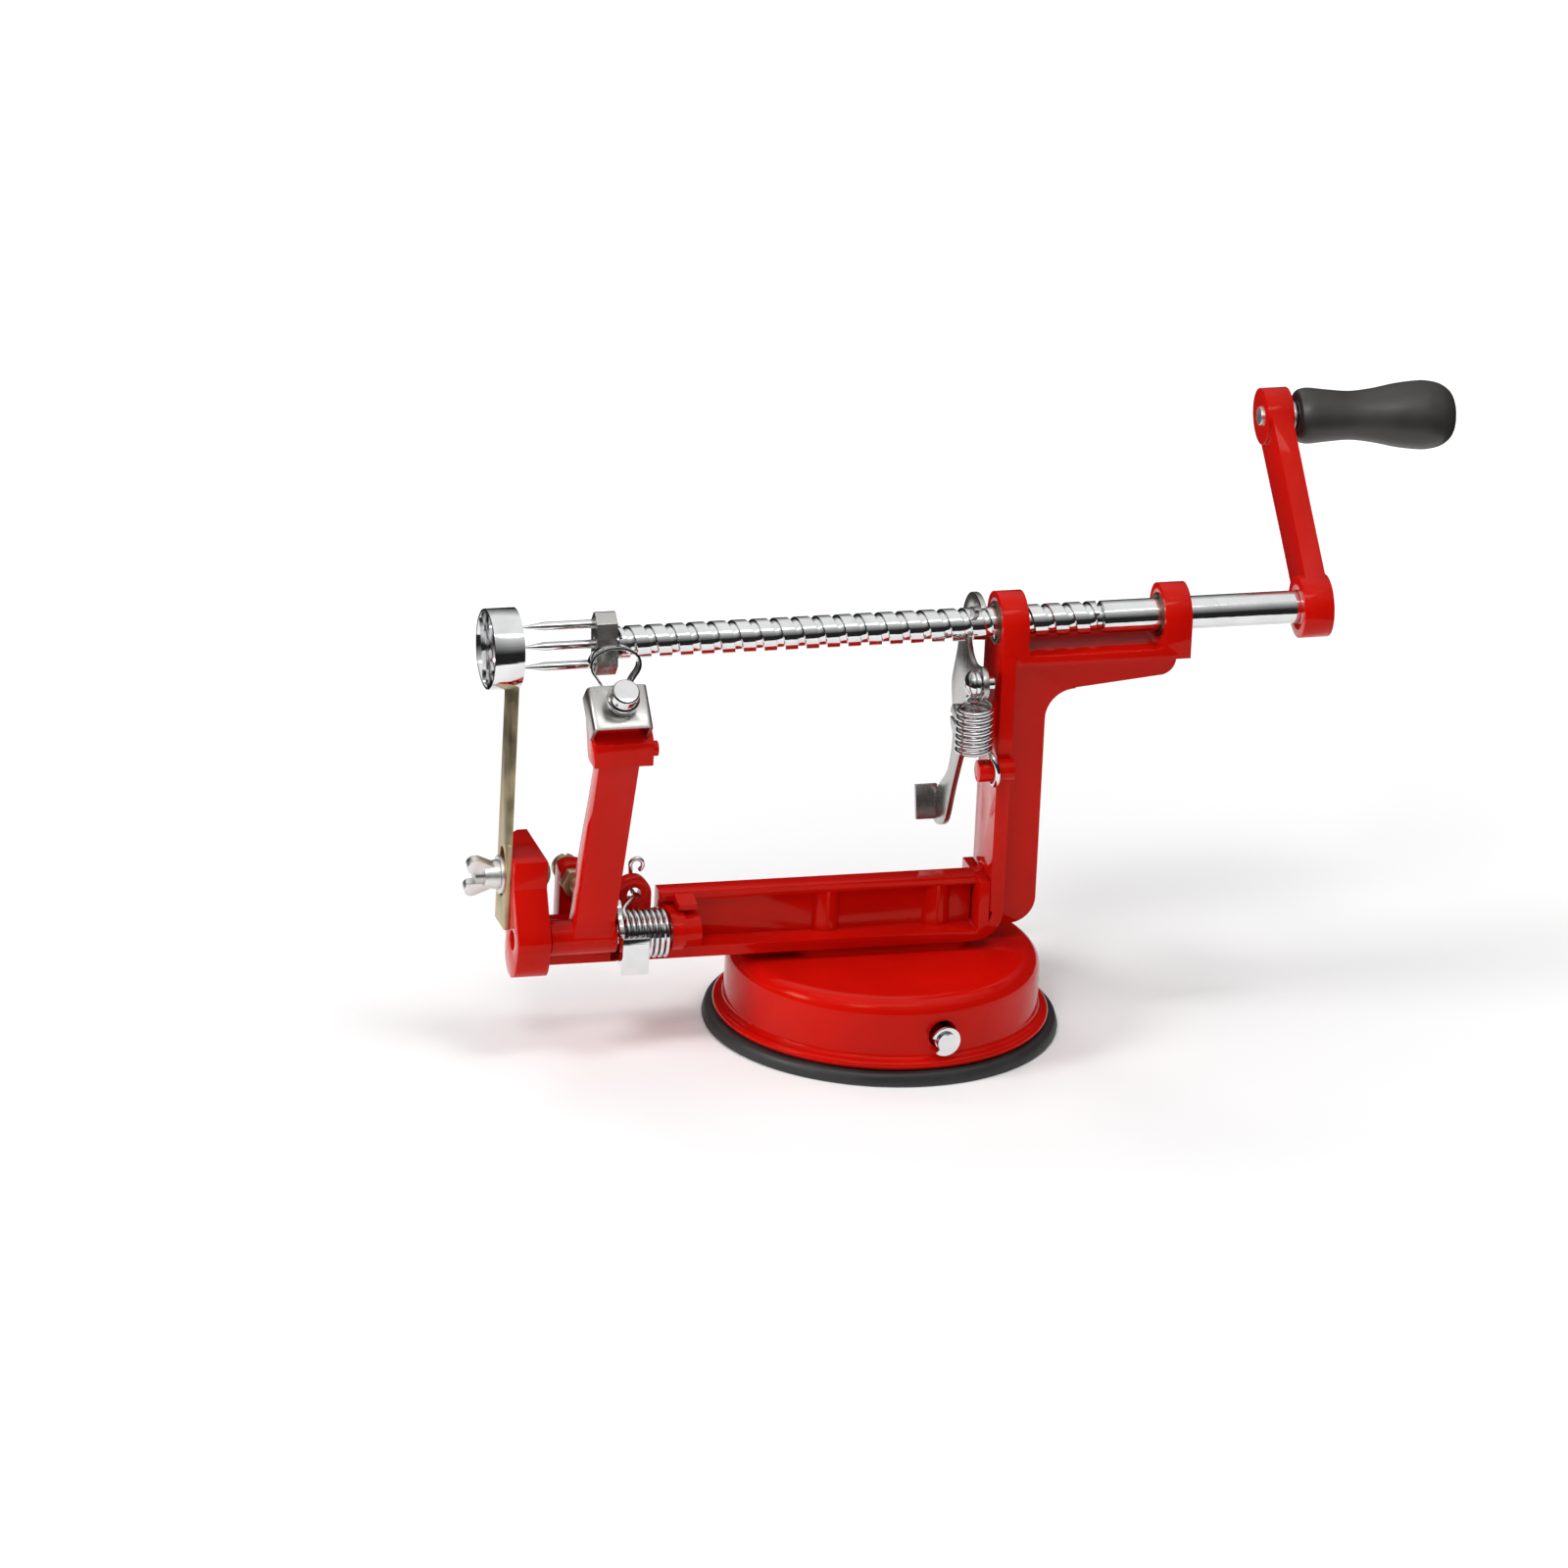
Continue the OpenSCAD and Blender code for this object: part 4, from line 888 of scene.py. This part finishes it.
def studio_world():
    """A soft even light that looks white to what sees it."""
    world = bpy.data.worlds.new("studio")
    world.use_nodes = True
    s = Shade(world.node_tree)
    light = s.node("ShaderNodeBackground", {}, {"Color": WHITE, "Strength": AMBIENT})["Background"]
    white = s.node("ShaderNodeBackground", {}, {"Color": WHITE, "Strength": 1.0})["Background"]
    both = s.node("ShaderNodeMixShader", {}, {0: s.seen(), 1: light, 2: white})["Shader"]
    s.node("ShaderNodeOutputWorld", {}, {"Surface": both})
    return world


def axes(right, up, back, place):
    """A matrix whose columns are three axes and a place."""
    rows = np.column_stack([right, up, back, place])
    return Matrix([*rows.tolist(), [0, 0, 0, 1]])


def look(place, target):
    """A matrix at place whose -Z axis points at target and whose X axis is level."""
    place, target = np.array(place, float), np.array(target, float)
    back = (place - target) / np.linalg.norm(place - target)
    right = np.cross([0, 0, 1], back)
    right /= np.linalg.norm(right)
    return axes(right, np.cross(back, right), back, place)


def view_axes():
    """The camera's matrix: it looks from the azimuth and tilt, rolls about its own line of sight, and stands so
    that the middle of the base falls on the photograph's pixel for it."""
    right = np.array([math.cos(AZIMUTH), math.sin(AZIMUTH), 0])
    up = np.array([
        -math.sin(AZIMUTH) * math.sin(TILT), math.cos(AZIMUTH) * math.sin(TILT), math.cos(TILT),
    ])
    back = np.cross(right, up)
    c, s = math.cos(ROLL), math.sin(ROLL)
    right, up = c * right + s * up, -s * right + c * up
    across = (IMAGE_PX / 2 - BASE_PX[0]) / PX_PER_MM * MM
    above = (BASE_PX[1] - IMAGE_PX / 2) / PX_PER_MM * MM
    return axes(right, up, back, across * right + above * up + DISTANCE * back)


class PEELER_OT_stage(bpy.types.Operator):
    """Pale floor, soft lamps and the camera"""

    bl_idname = "peeler.stage"
    bl_label = "Stage"

    def execute(self, context):
        scene = context.scene
        scene.view_settings.view_transform = "Standard"
        h = FLOOR_HALF
        corners = [(-h, -h, 0), (h, -h, 0), (h, h, 0), (-h, h, 0)]
        floor = stage_sheet("floor", corners, [(0, 1, 2, 3)], floor_paint())

        # Painted reflection and painted highlight: a low ring round the set that glows dark to pale, and a long
        # bright glowing strip above its front, both seen only in gloss
        count = 65
        a = np.linspace(0, FULL_TURN, count)
        x, y = REFLECTION_RING_RADIUS * np.cos(a), REFLECTION_RING_RADIUS * np.sin(a)
        ring = np.concatenate([np.stack([x, y, np.full(count, z)], 1) for z in (REFLECTION_RING_LOW, REFLECTION_RING_HIGH)])
        # Painted reflection: the glowing ring that only gloss shows
        wall = painted_light_sheet("painted_reflection_ring", ring.tolist(), grid_faces(2, count).tolist(), painted_reflection_paint())
        h = STRIP_HALF
        strip = [(-h, *STRIP_NEAR), (h, *STRIP_NEAR), (h, *STRIP_FAR), (-h, *STRIP_FAR)]
        # Painted highlight: the glowing strip that only gloss shows
        bright = painted_light_sheet("painted_highlight_strip", strip, [(0, 1, 2, 3)], painted_highlight_paint())

        scene.world = studio_world()
        for name, place, target, width, power, in_gloss in LAMPS:
            lamp = bpy.data.lights.new(name, "AREA")
            lamp.shape = "SQUARE"
            lamp.size = width
            lamp.energy = power
            obj = stage_object(name, lamp)
            obj.matrix_world = look(place, target)
            obj.visible_glossy = in_gloss

        camera = bpy.data.cameras.new("camera")
        camera.sensor_width = SENSOR_MM
        camera.lens = SENSOR_MM * DISTANCE / (IMAGE_PX / PX_PER_MM * MM)
        camera.clip_end = 100
        obj = stage_object("camera", camera)
        obj.matrix_world = view_axes()
        scene.camera = obj
        return {"FINISHED"}


class PEELER_PT_panel(bpy.types.Panel):
    """Sidebar list of the peeler's operators"""

    bl_idname = "PEELER_PT_panel"
    bl_label = "Apple peeler"
    bl_space_type = "VIEW_3D"
    bl_region_type = "UI"
    bl_category = "Peeler"

    def draw(self, context):
        for made in OPERATORS:
            self.layout.operator(made.bl_idname)


OPERATORS = (
    PEELER_OT_castings, PEELER_OT_sheet_metal, PEELER_OT_shaft, PEELER_OT_springs, PEELER_OT_grip,
    PEELER_OT_suction_disc, PEELER_OT_stage,
)
CLASSES = (PeelerSizes, PeelerColours, *OPERATORS, PEELER_PT_panel)


def register():
    for made in CLASSES:
        bpy.utils.register_class(made)
    bpy.types.Scene.peeler_sizes = bpy.props.PointerProperty(type=PeelerSizes)
    bpy.types.Scene.peeler_colours = bpy.props.PointerProperty(type=PeelerColours)


def unregister():
    del bpy.types.Scene.peeler_colours
    del bpy.types.Scene.peeler_sizes
    for made in reversed(CLASSES):
        bpy.utils.unregister_class(made)


def main():
    register()
    bpy.ops.peeler.castings()
    bpy.ops.peeler.sheet_metal()
    bpy.ops.peeler.shaft()
    bpy.ops.peeler.springs()
    bpy.ops.peeler.grip()
    bpy.ops.peeler.suction_disc()
    bpy.ops.peeler.stage()


if __name__ == "__main__":
    main()
